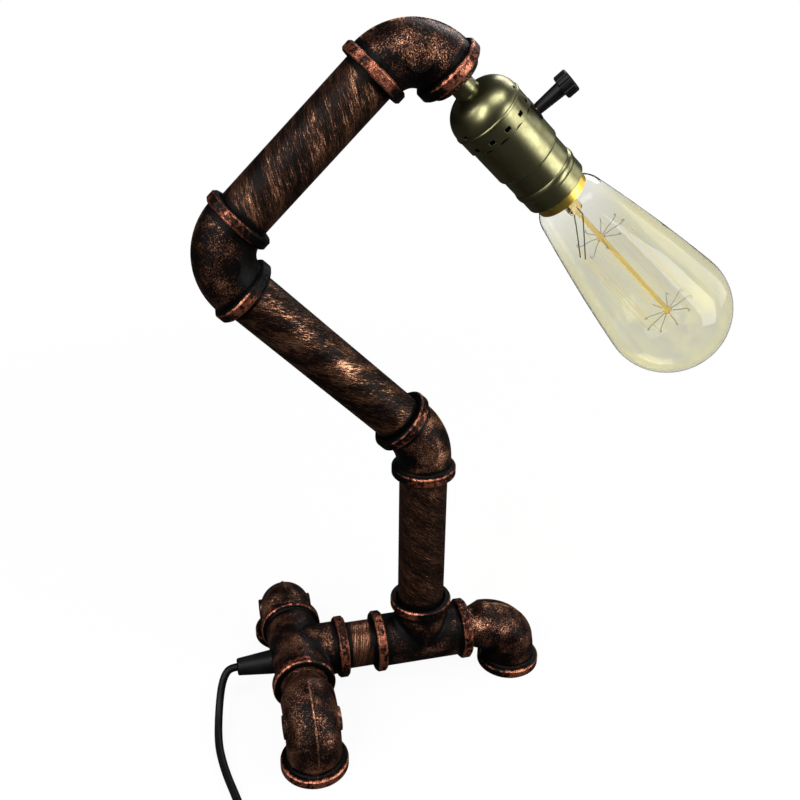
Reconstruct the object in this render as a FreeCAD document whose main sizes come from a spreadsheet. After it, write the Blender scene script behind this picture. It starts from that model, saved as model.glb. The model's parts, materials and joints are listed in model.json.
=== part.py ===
import FreeCAD, Part
import math
import os
import re
import Sketcher

# Industrial pipe table lamp, in millimetres.
# Threaded pipes and cast fittings carry a brass turn-knob lamp holder with a filament bulb.
# Z is up, the floor is z = 0, the head reaches out along +X, and the lamp's own plane is y = 0.

Vector = FreeCAD.Vector
Rotation = FreeCAD.Rotation
Placement = FreeCAD.Placement

UP = Vector(0, 0, 1)
ACROSS = Vector(0, 1, 0)
FORWARD = Vector(1, 0, 0)

DRIVING_SIZES = [
    # pipes
    ("pipe_diameter", 25.0, "outer diameter of every pipe"),
    ("pipe_wall", 2.0, "wall of every pipe"),
    ("thread_depth", 10.0, "how far a pipe screws into a fitting"),
    ("thread_clearance", 0.05, "radial play of a pipe in its thread"),
    ("swivel_gap", 0.2, "end play of a pipe that its fitting turns on"),
    ("nipple_length", 15.5, "seen length of the nipple between the two tees"),
    ("post_length", 78.0, "seen length of the post"),
    ("lower_arm_length", 100.0, "seen length of the lower arm"),
    ("upper_arm_length", 80.0, "seen length of the upper arm"),
    # cast fittings
    ("fitting_diameter", 28.4, "body of every fitting"),
    ("band_diameter", 33.2, "raised band round each mouth"),
    ("band_width", 5.6, "length of that band"),
    ("band_rounding", 1.0, "bevelled corners of a band"),
    ("band_root", 0.7, "bevel between a band and its body"),
    ("mouth_chamfer", 1.1, "chamfer inside each mouth"),
    ("way_ledge", 0.8, "how much narrower the cast way is in a bend than in a leg"),
    ("tee_reach", 27.0, "tee, centre to mouth"),
    ("tee_crotch", 3.0, "fillet where a tee's branch meets its run"),
    ("elbow_reach", 26.0, "90 degree elbow, centre to mouth"),
    ("elbow_bend", 22.0, "90 degree elbow, radius of its centre line"),
    ("half_elbow_reach", 19.7, "45 degree elbow, centre to mouth"),
    ("half_elbow_bend", 30.0, "45 degree elbow, radius of its centre line"),
    ("seam_height", 0.45, "casting seam, height over the body"),
    ("seam_width", 1.0, "casting seam, width"),
    ("pad_diameter", 12.0, "round cast pad on an elbow's flanks"),
    ("pad_height", 0.6, "how far that pad stands out"),
    # feet: street elbows
    ("foot_height", 28.3, "street elbow, centre to the mouth it stands on"),
    ("foot_reach", 26.5, "street elbow, centre to the tee it screws into"),
    ("foot_bend", 17.0, "street elbow, radius of its centre line"),
    ("foot_band_diameter", 35.0, "band that the lamp stands on"),
    ("foot_neck_diameter", 23.0, "street elbow, neck beside the tee"),
    ("foot_neck_length", 3.0, "length of that neck outside the tee"),
    # cord entry
    ("relief_drop", 3.2, "strain relief, how far below the tee's centre"),
    ("relief_length", 18.5, "strain relief, length outside the tee"),
    ("relief_root_diameter", 12.8, "strain relief, at the tee"),
    ("relief_tip_diameter", 9.2, "strain relief, where the cord leaves"),
    ("relief_hole", 9.0, "hole in the tee for the strain relief"),
    ("relief_lip", 0.6, "lip behind the tee's wall that keeps the relief in"),
    ("relief_skirt", 0.9, "straight skirt of the relief against the tee"),
    ("relief_depth", 4.2, "the relief's inner end, from the tee's centre"),
    ("cord_diameter", 4.2, "mains cord"),
    ("cord_bend", 15.5, "bend of the cord in a 90 degree elbow"),
    # lamp holder
    ("bush_depth", 8.0, "bush screwed into the top elbow's mouth"),
    ("bush_proud", 3.0, "how far that bush stands out of the mouth"),
    ("bush_rounding", 0.8, "rounded edge of the bush"),
    ("lamp_nipple_diameter", 10.0, "threaded lamp nipple"),
    ("lamp_nipple_bore", 7.0, "its wire way"),
    ("lamp_nipple_end", 1.0, "how far the lamp nipple stands out of its nut"),
    ("lamp_nut_width", 3.0, "lock nut behind the bush"),
    ("lamp_nut_flats", 14.0, "lock nut across its flats"),
    ("collar_diameter", 11.4, "neck of the brass cap"),
    ("collar_length", 7.5, "length of that neck"),
    ("collar_grip", 7.0, "how far the lamp nipple screws into the neck"),
    ("cap_diameter", 35.4, "brass cap over its bead"),
    ("cap_height", 22.0, "brass cap from its neck to the end of its skirt"),
    ("dome_radius", 12.5, "round shoulder of the brass cap"),
    ("cap_bead", 0.4, "bead round the cap"),
    ("brass_wall", 0.6, "sheet brass"),
    ("cap_lap", 6.5, "how far the skirt laps over the shell"),
    ("window_count", 12.0, "crimp windows round the skirt, with a scallop of its edge between each two"),
    ("window_width", 2.8, "crimp window along the rim"),
    ("window_height", 1.9, "crimp window along the axis"),
    ("scallop_diameter", 10.2, "round of a scallop in the skirt's edge"),
    ("scallop_depth", 0.8, "depth of that scallop"),
    ("vent_count", 3.0, "small round holes above the bead"),
    ("vent_diameter", 1.8, "those holes"),
    ("shell_upper_length", 24.8, "shell's wide part"),
    ("shell_step_length", 2.0, "shoulder down to the narrow part"),
    ("shell_step_radius", 1.8, "round of that shoulder"),
    ("shell_lower_length", 20.7, "length of the narrow part"),
    ("shell_roll_station", 9.6, "raised roll, from the start of the narrow part"),
    ("shell_roll_width", 4.4, "width of that roll"),
    ("shell_roll_radius", 4.4, "round of that roll"),
    ("shell_groove", 0.3, "thin groove before the roll, its depth and half its width"),
    ("liner_wall", 0.5, "insulating card liner"),
    ("liner_clearance", 0.8, "between the screw shell and the liner"),
    ("holder_play", 0.05, "slip fit between the holder's nested pieces"),
    ("screw_shell_wall", 0.4, "sheet of the screw shell"),
    ("screw_shell_length", 21.5, "length of the screw shell"),
    ("contact_hole", 10.0, "hole in the floor of the screw shell"),
    ("contact_width", 4.0, "sprung centre contact"),
    ("contact_length", 7.0, "its foot on the switch body"),
    ("contact_sheet", 0.5, "its sheet"),
    ("contact_rise", 2.0, "its height"),
    ("switch_body_inset", 4.0, "from the shell's top edge to the switch body"),
    ("terminal_spacing", 16.0, "between the two terminal screws"),
    ("terminal_head_diameter", 5.6, "head of a terminal screw"),
    ("terminal_head_height", 1.8, "head of a terminal screw"),
    ("terminal_shank_diameter", 3.0, "shank of a terminal screw"),
    ("terminal_shank_length", 5.0, "shank of a terminal screw"),
    # switch
    ("knob_station", 12.0, "switch knob, from the shell's top edge"),
    ("knob_turn", 194.0, "direction of the knob round the head"),
    ("knob_stem_diameter", 5.4, "stem of the switch knob, at the holder"),
    ("knob_stem_root_diameter", 6.8, "stem of the switch knob, at its grip"),
    ("knob_stem_reach", 30.5, "from the head's axis to the knob's grip"),
    ("knob_gap", 0.3, "between the stem and the insulating plate"),
    ("knob_bore_depth", 9.0, "how far the shaft goes into the stem"),
    ("shaft_diameter", 3.2, "brass shaft of the switch"),
    ("shaft_depth", 2.0, "the shaft's inner end, from the head's axis"),
    ("knob_grip_diameter", 11.4, "grip of the switch knob"),
    ("knob_grip_length", 6.0, "length of that grip"),
    ("knob_chamfer", 0.5, "chamfers of the grip"),
    ("knob_recess_diameter", 8.4, "hollow in the grip's end"),
    ("knob_recess_depth", 3.0, "depth of that hollow"),
    ("knob_flute_count", 12.0, "flutes round the grip"),
    ("knob_flute_diameter", 1.6, "those flutes"),
    ("knob_flute_offset", 0.3, "middle of a flute outside the grip"),
    ("knob_play", 0.08, "running clearance of the stem"),
    ("plate_width", 8.0, "insulating plate in the shell's slot"),
    ("plate_margin", 3.4, "from the knob's axis to the plate's end"),
    ("plate_proud", 0.5, "how far the plate stands out of the shell"),
    ("plate_play", 0.1, "play of the plate in the slot"),
    # bulb
    ("bulb_gap", 0.3, "between the bulb's contact and the holder's"),
    ("bulb_button_diameter", 9.2, "contact at the bulb's end"),
    ("bulb_button_height", 0.8, "that contact"),
    ("bulb_insulator_height", 2.1, "black glass between the contact and the cap"),
    ("bulb_cap_mouth", 18.8, "end of the cap that the black glass closes"),
    ("bulb_taper", 2.0, "taper at that end"),
    ("bulb_cap_diameter", 26.1, "threaded part of the bulb's cap"),
    ("bulb_thread_play", 0.2, "between the bulb's cap and the screw shell"),
    ("bulb_cap_wall", 0.35, "sheet of the bulb's cap"),
    ("bulb_seat_gap", 0.3, "between the cap's ring and the shell's lip"),
    ("bulb_ring_step", 0.45, "how far the cap's plain ring at the glass stands out from the thread"),
    ("bulb_ring_length", 4.7, "length of that ring"),
    ("bulb_diameter", 64.2, "glass at its widest"),
    ("bulb_length", 121.0, "glass from the cap's ring to its tip"),
    ("bulb_neck_depth", 6.0, "how far the glass goes into the cap"),
    ("bulb_shoulder_diameter", 35.0, "glass where its neck ends"),
    ("bulb_shoulder_length", 7.5, "from the ring to that shoulder"),
    ("bulb_shoulder_radius", 11.0, "round of the neck"),
    ("bulb_side_radius", 985.0, "slight bulge of the long side"),
    ("bulb_belly_angle", 8.6, "where the long side meets the round end, degrees over the widest"),
    ("glass_wall", 0.9, "bulb's glass"),
    ("stem_diameter", 7.4, "glass stem inside the neck"),
    ("stem_length", 12.0, "the stem's pinch, from the ring"),
    ("stem_flare", 1.0, "thickness of the stem's flare at the neck"),
    ("arbor_diameter", 2.5, "glass rod that carries the support wires"),
    ("button_diameter", 4.4, "glass buttons that hold the support wires"),
    ("button_length", 2.4, "those buttons"),
    ("upper_star_station", 31.0, "first star of wires, from the ring"),
    ("lower_star_station", 89.0, "second star of wires, from the ring"),
    ("star_radius", 13.6, "reach of the support wires"),
    ("star_count", 9.0, "support wires in each star"),
    ("hook_length", 1.4, "bent end of a support wire"),
    ("support_wire", 0.3, "support wire"),
    ("filament_wire", 0.22, "filament"),
    ("lead_wire", 0.6, "lead wires in the bulb"),
    # coil and plug of the cord
    ("coil_outer_diameter", 66.8, "cord wound for storage"),
    ("coil_inner_diameter", 33.2, "inside of that coil"),
    ("coil_height", 8.4, "two layers of cord"),
    ("plug_length", 26.0, "moulded plug without its boot"),
    ("plug_width", 22.0, "moulded plug"),
    ("plug_height", 12.0, "moulded plug"),
    ("plug_shoulder", 11.0, "length over which the plug widens"),
    ("plug_corner", 2.5, "cut corners of the plug"),
    ("boot_length", 20.0, "tapered boot where the cord enters the plug"),
    ("boot_tip_diameter", 5.6, "that boot at the cord"),
    ("boot_root_diameter", 8.6, "that boot at the plug"),
    ("blade_length", 16.0, "plug's blades"),
    ("blade_width", 6.3, "plug's blades"),
    ("blade_thickness", 1.5, "plug's blades"),
    ("blade_spacing", 12.7, "plug's blades"),
    # where it stands
    ("post_setback", 24.0, "from the post back to the origin, which is under the middle of the lamp"),
]

os.makedirs("parts", exist_ok=True)
doc = FreeCAD.newDocument("pipe_table_lamp")
sizes = doc.addObject("Spreadsheet::Sheet", "sizes")
for row, (name, value, meaning) in enumerate(DRIVING_SIZES, 1):
    sizes.set(f"A{row}", name)
    sizes.set(f"B{row}", str(value))
    sizes.set(f"C{row}", meaning)
    sizes.setAlias(f"B{row}", name)
doc.recompute()

subparts = []


# ---------------------------------------------------------------- helpers


def bound(expression):
    """The expression with every name of the sheet written in full."""
    return re.sub(r"\b([a-z]+(?:_[a-z]+)+)\b", r"sizes.\1", expression)


def size(expression):
    """The expression's value now."""
    return float(sizes.evalExpression(bound(expression)))


def keep(shape_object, placement=None):
    """Place a finished sub-part and put it on the list that is written."""
    if placement:
        shape_object.Placement = placement
    subparts.append(shape_object)
    return shape_object


def new_body(label):
    body = doc.addObject("PartDesign::Body", label)
    body.Label = label
    return body


def new_sketch(body, name, role, move=None):
    sketch = body.newObject("Sketcher::SketchObject", name)
    plane = next(f for f in body.Origin.OriginFeatures if f.Role == role)
    sketch.AttachmentSupport = [(plane, "")]
    sketch.MapMode = "FlatFace"
    if move:
        sketch.AttachmentOffset = move
    return sketch


def constrain(sketch, joined, bound_sizes):
    """Add a sketch's constraints together and bind its sizes to the sheet."""
    drawn = [geometry.Center for geometry in sketch.Geometry if hasattr(geometry, "Center")]
    dimensions = [
        Sketcher.Constraint(kind, *where, size(expression)) for kind, where, expression in bound_sizes
    ]
    sketch.addConstraint(joined + dimensions)
    for index, (_, _, expression) in enumerate(bound_sizes, len(joined)):
        sketch.setExpression(f"Constraints[{index}]", bound(expression))
    doc.recompute()
    solved = [geometry.Center for geometry in sketch.Geometry if hasattr(geometry, "Center")]
    if any((before - after).Length > 1e-4 for before, after in zip(drawn, solved)):
        raise RuntimeError(f"{sketch.Name}: a round stretch has moved")


def circle(body, name, role, diameter, move=None, centre=("0", "0")):
    sketch = new_sketch(body, name, role, move)
    middle = Vector(size(centre[0]), size(centre[1]), 0)
    sketch.addGeometry(Part.Circle(middle, UP, size(diameter) / 2), False)
    bound_sizes = [
        ("Radius", (0,), f"({diameter}) / 2"),
        ("DistanceX", (-1, 1, 0, 3), centre[0]),
        ("DistanceY", (-1, 1, 0, 3), centre[1]),
    ]
    constrain(sketch, [], bound_sizes)
    return sketch


def arc_top(start, end, radius):
    """Middle of the short arc from start to end; a positive radius bulges to the right of the way."""
    chord = end - start
    half = chord.Length / 2
    right = Vector(chord.y, -chord.x, 0) / chord.Length
    side = 1 if radius > 0 else -1
    height = abs(radius) - math.sqrt(radius * radius - half * half)
    return (start + end) / 2 + right * side * height


def outline(body, name, corners, bulges=None, role="XZ_Plane", move=None):
    """A closed outline whose corners, and the radii of its round stretches, are bound to the sheet."""
    bulges = bulges or {}
    sketch = new_sketch(body, name, role, move)
    points = [Vector(size(x), size(y), 0) for x, y in corners]
    count = len(points)
    starts = []
    for index in range(count):
        start, end = points[index], points[(index + 1) % count]
        if index in bulges:
            side, radius = bulges[index]
            top = arc_top(start, end, side * size(radius))
            first, last = (start, end) if side > 0 else (end, start)
            sketch.addGeometry(Part.Arc(first, top, last), False)
            starts.append(1 if side > 0 else 2)
        else:
            sketch.addGeometry(Part.LineSegment(start, end), False)
            starts.append(1)
    joined = []
    for index in range(count):
        following = (index + 1) % count
        joined.append(
            Sketcher.Constraint("Coincident", index, 3 - starts[index], following, starts[following])
        )
    bound_sizes = [("Radius", (index,), radius) for index, (_, radius) in bulges.items()]
    for index, (x, y) in enumerate(corners):
        bound_sizes.append(("DistanceX", (-1, 1, index, starts[index]), x))
        bound_sizes.append(("DistanceY", (-1, 1, index, starts[index]), y))
    constrain(sketch, joined, bound_sizes)
    return sketch


def revolve(body, sketch, angle="360", cut=False):
    """Turn a sketch about its own vertical axis, into the body or out of it."""
    before = body.Tip.Shape.Volume if cut else 0
    kind = "PartDesign::Groove" if cut else "PartDesign::Revolution"
    feature = body.newObject(kind, f"{sketch.Name}_turned")
    feature.Profile = sketch
    feature.ReferenceAxis = (sketch, ["V_Axis"])
    feature.setExpression("Angle", bound(angle))
    sketch.Visibility = False
    doc.recompute()
    if cut and feature.Shape.Volume >= before:
        raise RuntimeError(f"{feature.Name} cuts nothing")
    return feature


def pad(body, sketch, length, symmetric=False, reverse=False):
    feature = body.newObject("PartDesign::Pad", f"{sketch.Name}_pad")
    feature.Profile = sketch
    feature.Midplane = symmetric
    feature.Reversed = reverse
    feature.setExpression("Length", bound(length))
    doc.recompute()
    return feature


def pocket(body, sketch, length, symmetric=False, reverse=False):
    before = body.Tip.Shape.Volume
    feature = body.newObject("PartDesign::Pocket", f"{sketch.Name}_pocket")
    feature.Profile = sketch
    feature.Midplane = symmetric
    feature.Reversed = reverse
    feature.setExpression("Length", bound(length))
    doc.recompute()
    if feature.Shape.Volume >= before:
        raise RuntimeError(f"{feature.Name} cuts nothing")
    return feature


def repeat_round(body, feature, name, count):
    """Copies of one feature, evenly round the body's Z axis."""
    pattern = body.newObject("PartDesign::PolarPattern", name)
    pattern.Originals = [feature]
    z_axis = next(f for f in body.Origin.OriginFeatures if f.Role == "Z_Axis")
    pattern.Axis = (z_axis, [""])
    pattern.Angle = 360
    pattern.setExpression("Occurrences", bound(count))
    body.Tip = pattern
    doc.recompute()
    return pattern


def round_edges(body, name, wanted, radius):
    """Fillet the edges of the body's last feature that wanted picks."""
    base = body.Tip
    picked = [f"Edge{i}" for i, edge in enumerate(base.Shape.Edges, 1) if wanted(edge)]
    fillet = body.newObject("PartDesign::Fillet", name)
    fillet.Base = (base, picked)
    fillet.setExpression("Radius", bound(radius))
    doc.recompute()
    return fillet


def turned(label, corners, bulges=None, placement=None):
    """A sub-part turned about its own Z axis from one outline of (radius, height) corners."""
    body = new_body(label)
    revolve(body, outline(body, f"{label}_outline", corners, bulges))
    return keep(body, placement)


# ---------------------------------------------------------------- where everything stands

LEAN = 45
CORNER = 90


def tilted(angle):
    """Turns Z by the angle towards +X."""
    return Rotation(ACROSS, angle)


def along(angle, distance):
    return tilted(angle).multVec(UP) * distance


post_tee_centre = Vector(-size("post_setback"), 0, size("foot_height"))
tee_spacing = size("2 * tee_reach + nipple_length")
rear_tee_centre = post_tee_centre - FORWARD * tee_spacing
half_elbow_centre = post_tee_centre + UP * size("tee_reach + post_length + half_elbow_reach")
middle_elbow_centre = half_elbow_centre + along(
    -LEAN, size("half_elbow_reach + lower_arm_length + elbow_reach")
)
head_elbow_centre = middle_elbow_centre + along(LEAN, size("2 * elbow_reach + upper_arm_length"))
head_place = Placement(head_elbow_centre, tilted(LEAN + CORNER))


# ---------------------------------------------------------------- cast fittings

THREAD = "pipe_diameter / 2 + thread_clearance"
PASSAGE = "pipe_diameter / 2 - pipe_wall"


def leg_frame(turn):
    """Sketch frame on the XZ plane whose vertical axis leans from +Z towards +X by turn degrees."""
    return Placement(Vector(), Rotation(UP, -turn))


def add_leg(body, name, turn, start, reach, band="band_diameter"):
    """The outside of one leg: its straight body, unless the bend meets the band, and the raised band."""
    back = f"{reach} - band_width"
    root = f"{back} - band_root"
    straight = [
        ("0", start),
        ("fitting_diameter / 2", start),
        ("fitting_diameter / 2", root),
        ("fitting_diameter / 2 + band_root", back),
    ]
    corners = (straight if size(start) < size(root) else [("0", back)]) + [
        (f"{band} / 2 - band_rounding", back),
        (f"{band} / 2", f"{back} + band_rounding"),
        (f"{band} / 2", f"{reach} - band_rounding"),
        (f"{band} / 2 - band_rounding", reach),
        ("0", reach),
    ]
    revolve(body, outline(body, name, corners, move=leg_frame(turn)))


def cut_mouth(body, name, turn, start, reach):
    """One leg's wire way, the threaded mouth beyond it and the chamfer at its edge."""
    corners = [
        ("0", start),
        (PASSAGE, start),
        (PASSAGE, f"{reach} - thread_depth"),
        (THREAD, f"{reach} - thread_depth"),
        (THREAD, f"{reach} - mouth_chamfer"),
        (f"{THREAD} + mouth_chamfer", reach),
        ("0", reach),
    ]
    revolve(body, outline(body, name, corners, move=leg_frame(turn)), cut=True)


def add_bend(body, name, bend, turn, diameter, cut=False):
    """A round bar or way, bent from +Z towards +X by turn degrees, its corner at the origin."""
    tangent = f"{bend} * tan({turn / 2})"
    move = Placement(Vector(size(bend), 0, -size(tangent)), Rotation())
    sketch = circle(body, name, "XY_Plane", diameter, move, (f"-({bend})", "0"))
    return revolve(body, sketch, str(turn), cut)


def add_seam(body, name, bend, turn):
    """The thin casting seam along the outside of a bend."""
    tangent = f"{bend} * tan({turn / 2})"
    move = Placement(Vector(size(bend), 0, -size(tangent)), Rotation())
    outer = f"-({bend} + fitting_diameter / 2 + seam_height)"
    inner = f"-({bend} + fitting_diameter / 2 - seam_width)"
    corners = [
        (outer, "-seam_width / 2"),
        (inner, "-seam_width / 2"),
        (inner, "seam_width / 2"),
        (outer, "seam_width / 2"),
    ]
    revolve(body, outline(body, name, corners, role="XY_Plane", move=move), str(turn))


def add_pads(body, name, bend, turn):
    """Round cast pads on both flanks, at the middle of a bend."""
    middle = Vector(size(bend) * (1 - math.cos(math.radians(turn / 2))), 0, 0)
    drop = size(f"{bend} * tan({turn / 2})") - size(bend) * math.sin(math.radians(turn / 2))
    move = Placement(Vector(middle.x, -drop, 0), Rotation())
    pad(body, circle(body, name, "XZ_Plane", "pad_diameter", move), "fitting_diameter + 2 * pad_height", True)


def elbow(label, turn, reach, bend, placement):
    """An elbow with two threaded mouths: one looks down -Z, the other leans by turn from +Z to +X."""
    body = new_body(label)
    tangent = f"{bend} * tan({turn / 2})"
    lead = f"min({tangent}; {reach} - thread_depth) - pipe_wall / 2"
    add_bend(body, f"{label}_bend", bend, turn, "fitting_diameter")
    add_leg(body, f"{label}_inlet", 180, tangent, reach)
    add_leg(body, f"{label}_outlet", turn, tangent, reach)
    add_seam(body, f"{label}_seam", bend, turn)
    add_pads(body, f"{label}_pads", bend, turn)
    add_bend(body, f"{label}_way", bend, turn, f"2 * ({PASSAGE}) - way_ledge", cut=True)
    cut_mouth(body, f"{label}_inlet_mouth", 180, lead, reach)
    cut_mouth(body, f"{label}_outlet_mouth", turn, lead, reach)
    return keep(body, placement)


def tee(label, placement):
    """A tee with its run along Z and its branch along +X."""
    body = new_body(label)
    for name, turn in (("bottom", 180), ("top", 0), ("branch", CORNER)):
        add_leg(body, f"{label}_{name}", turn, "0", "tee_reach")
    round_edges(
        body,
        f"{label}_crotch",
        lambda edge: edge.Curve.TypeId not in ("Part::GeomCircle", "Part::GeomLine"),
        "tee_crotch",
    )
    for name, turn in (("bottom", 180), ("top", 0), ("branch", CORNER)):
        cut_mouth(body, f"{label}_{name}_mouth", turn, "0", "tee_reach")
    return keep(body, placement)


def street_elbow(label, placement):
    """A foot: its male end points down -Z into a tee, and its mouth looks along +X at the floor."""
    body = new_body(label)
    tangent = f"foot_bend * tan({CORNER / 2})"
    neck = "foot_reach - foot_neck_length"
    end = "foot_reach + thread_depth"
    add_bend(body, f"{label}_bend", "foot_bend", CORNER, "fitting_diameter")
    male = [
        ("0", tangent),
        ("fitting_diameter / 2", tangent),
        ("foot_neck_diameter / 2", neck),
        ("foot_neck_diameter / 2", "foot_reach"),
        ("pipe_diameter / 2", "foot_reach"),
        ("pipe_diameter / 2", end),
        ("0", end),
    ]
    revolve(body, outline(body, f"{label}_male", male, move=leg_frame(180)))
    add_leg(body, f"{label}_foot", CORNER, tangent, "foot_height", "foot_band_diameter")
    add_seam(body, f"{label}_seam", "foot_bend", CORNER)
    add_pads(body, f"{label}_pads", "foot_bend", CORNER)
    way = "foot_neck_diameter / 2 - pipe_wall"
    add_bend(body, f"{label}_way", "foot_bend", CORNER, f"2 * ({way}) - way_ledge", cut=True)
    way_start = f"{tangent} - pipe_wall / 2"
    male_way = [("0", way_start), (way, way_start), (way, end), ("0", end)]
    revolve(body, outline(body, f"{label}_male_way", male_way, move=leg_frame(180)), cut=True)
    lead = f"min({tangent}; foot_height - thread_depth) - pipe_wall / 2"
    cut_mouth(body, f"{label}_mouth", CORNER, lead, "foot_height")
    return keep(body, placement)


def pipe(label, seen_length, placement, swivel_end=False):
    """A pipe along Z; z = 0 is the face of the fitting that it screws into."""
    far = f"{seen_length} + thread_depth" + (" - swivel_gap" if swivel_end else "")
    corners = [
        (PASSAGE, "-thread_depth"),
        ("pipe_diameter / 2", "-thread_depth"),
        ("pipe_diameter / 2", far),
        (PASSAGE, far),
    ]
    return turned(label, corners, placement=placement)


post_tee = tee("post_tee", Placement(post_tee_centre, Rotation(ACROSS, CORNER) * Rotation(UP, 180)))
rear_tee = tee("rear_tee", Placement(rear_tee_centre, Rotation(FORWARD, CORNER)))
relief_hole = circle(rear_tee, "relief_hole", "YZ_Plane", "relief_hole", None, ("-relief_drop", "0"))
pocket(rear_tee, relief_hole, "fitting_diameter")

pipe(
    "base_nipple",
    "nipple_length",
    Placement(rear_tee_centre + FORWARD * size("tee_reach"), tilted(CORNER)),
)
for label, centre, heading in (
    ("front_foot_elbow", post_tee_centre, 0),
    ("left_foot_elbow", rear_tee_centre, 90),
    ("right_foot_elbow", rear_tee_centre, -90),
):
    turn = Rotation(UP, heading)
    corner = centre + turn.multVec(FORWARD) * size("tee_reach + foot_reach")
    street_elbow(label, Placement(corner, turn * tilted(CORNER)))
pipe(
    "post_pipe",
    "post_length",
    Placement(post_tee_centre + UP * size("tee_reach"), Rotation()),
    swivel_end=True,
)
elbow(
    "lower_elbow",
    LEAN,
    "half_elbow_reach",
    "half_elbow_bend",
    Placement(half_elbow_centre, Rotation(UP, 180)),
)
pipe(
    "lower_arm_pipe",
    "lower_arm_length",
    Placement(half_elbow_centre + along(-LEAN, size("half_elbow_reach")), tilted(-LEAN)),
    swivel_end=True,
)
elbow("middle_elbow", CORNER, "elbow_reach", "elbow_bend", Placement(middle_elbow_centre, tilted(-LEAN)))
pipe(
    "upper_arm_pipe",
    "upper_arm_length",
    Placement(middle_elbow_centre + along(LEAN, size("elbow_reach")), tilted(LEAN)),
    swivel_end=True,
)
elbow("head_elbow", CORNER, "elbow_reach", "elbow_bend", Placement(head_elbow_centre, tilted(LEAN)))

relief = new_body("strain_relief")
relief_frustum = [
    ("0", "relief_depth"),
    ("relief_root_diameter / 2", "relief_depth"),
    ("relief_root_diameter / 2", "fitting_diameter / 2 + relief_skirt"),
    ("relief_tip_diameter / 2", "fitting_diameter / 2 + relief_length - relief_lip"),
    ("relief_tip_diameter / 2 - relief_lip", "fitting_diameter / 2 + relief_length"),
    ("0", "fitting_diameter / 2 + relief_length"),
]
revolve(relief, outline(relief, "relief_frustum", relief_frustum))
saddle = circle(relief, "relief_saddle", "XZ_Plane", "fitting_diameter", None, ("relief_drop", "0"))
pocket(relief, saddle, "2 * relief_root_diameter", symmetric=True)
relief_neck = [
    ("0", "relief_depth"),
    ("relief_hole / 2 - holder_play + relief_lip", "relief_depth"),
    ("relief_hole / 2 - holder_play", "relief_depth + 2 * relief_lip"),
    ("relief_hole / 2 - holder_play", "fitting_diameter / 2 + relief_lip"),
    ("0", "fitting_diameter / 2 + relief_lip"),
]
revolve(relief, outline(relief, "relief_neck", relief_neck))
relief_axis = rear_tee_centre - UP * size("relief_drop")
keep(relief, Placement(relief_axis, tilted(-CORNER)))


# ---------------------------------------------------------------- lamp holder, along the head's axis

COLLAR = "elbow_reach + bush_proud"
DOME = f"{COLLAR} + collar_length"
SHELL_TOP = f"{DOME} + cap_height - cap_lap"
SHELL_STEP = f"{SHELL_TOP} + shell_upper_length"
SHELL_NARROW = f"{SHELL_STEP} + shell_step_length"
SHELL_END = f"{SHELL_NARROW} + shell_lower_length"
KNOB = f"{SHELL_TOP} + knob_station"
NIPPLE_BORE = "lamp_nipple_diameter / 2 + holder_play"
CAP_INSIDE = "cap_diameter / 2 - cap_bead - brass_wall"
SHELL_OUTSIDE = f"{CAP_INSIDE} - holder_play"
SHELL_INSIDE = f"{SHELL_OUTSIDE} - brass_wall"
LINER_INSIDE = f"{SHELL_INSIDE} - holder_play - liner_wall"
BODY_RADIUS = f"{LINER_INSIDE} - holder_play"
SCREW_INSIDE = "bulb_cap_diameter / 2 + bulb_thread_play"
SCREW_OUTSIDE = f"{SCREW_INSIDE} + screw_shell_wall"
NARROW_INSIDE = f"{SCREW_OUTSIDE} + liner_clearance + liner_wall + holder_play"
NARROW_OUTSIDE = f"{NARROW_INSIDE} + brass_wall"

knob_turn = Rotation(UP, size("knob_turn") - CORNER)
knob_side = Placement(head_elbow_centre, head_place.Rotation * knob_turn)

turned(
    "elbow_bush",
    [
        (NIPPLE_BORE, "elbow_reach - bush_depth"),
        ("pipe_diameter / 2", "elbow_reach - bush_depth"),
        ("pipe_diameter / 2", f"{COLLAR} - bush_rounding"),
        ("pipe_diameter / 2 - bush_rounding", COLLAR),
        (NIPPLE_BORE, COLLAR),
    ],
    {2: (1, "bush_rounding")},
    placement=head_place,
)
NIPPLE_START = "elbow_reach - bush_depth - lamp_nut_width - lamp_nipple_end"
turned(
    "lamp_nipple",
    [
        ("lamp_nipple_bore / 2", NIPPLE_START),
        ("lamp_nipple_diameter / 2", NIPPLE_START),
        ("lamp_nipple_diameter / 2", f"{COLLAR} + collar_grip"),
        ("lamp_nipple_bore / 2", f"{COLLAR} + collar_grip"),
    ],
    placement=head_place,
)

nut_blank = doc.addObject("Part::Prism", "lock_nut_blank")
nut_blank.Polygon = 6
nut_blank.setExpression("Circumradius", bound("lamp_nut_flats / 2 / cos(30)"))
nut_blank.setExpression("Height", bound("lamp_nut_width"))
nut_thread = doc.addObject("Part::Cylinder", "lock_nut_thread")
nut_thread.setExpression("Radius", bound(NIPPLE_BORE))
nut_thread.setExpression("Height", bound("lamp_nut_width"))
lock_nut = doc.addObject("Part::Cut", "lock_nut")
lock_nut.Base = nut_blank
lock_nut.Tool = nut_thread
lock_nut_seat = UP * size("elbow_reach - bush_depth - lamp_nut_width")
keep(lock_nut, head_place * Placement(lock_nut_seat, Rotation()))

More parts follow.
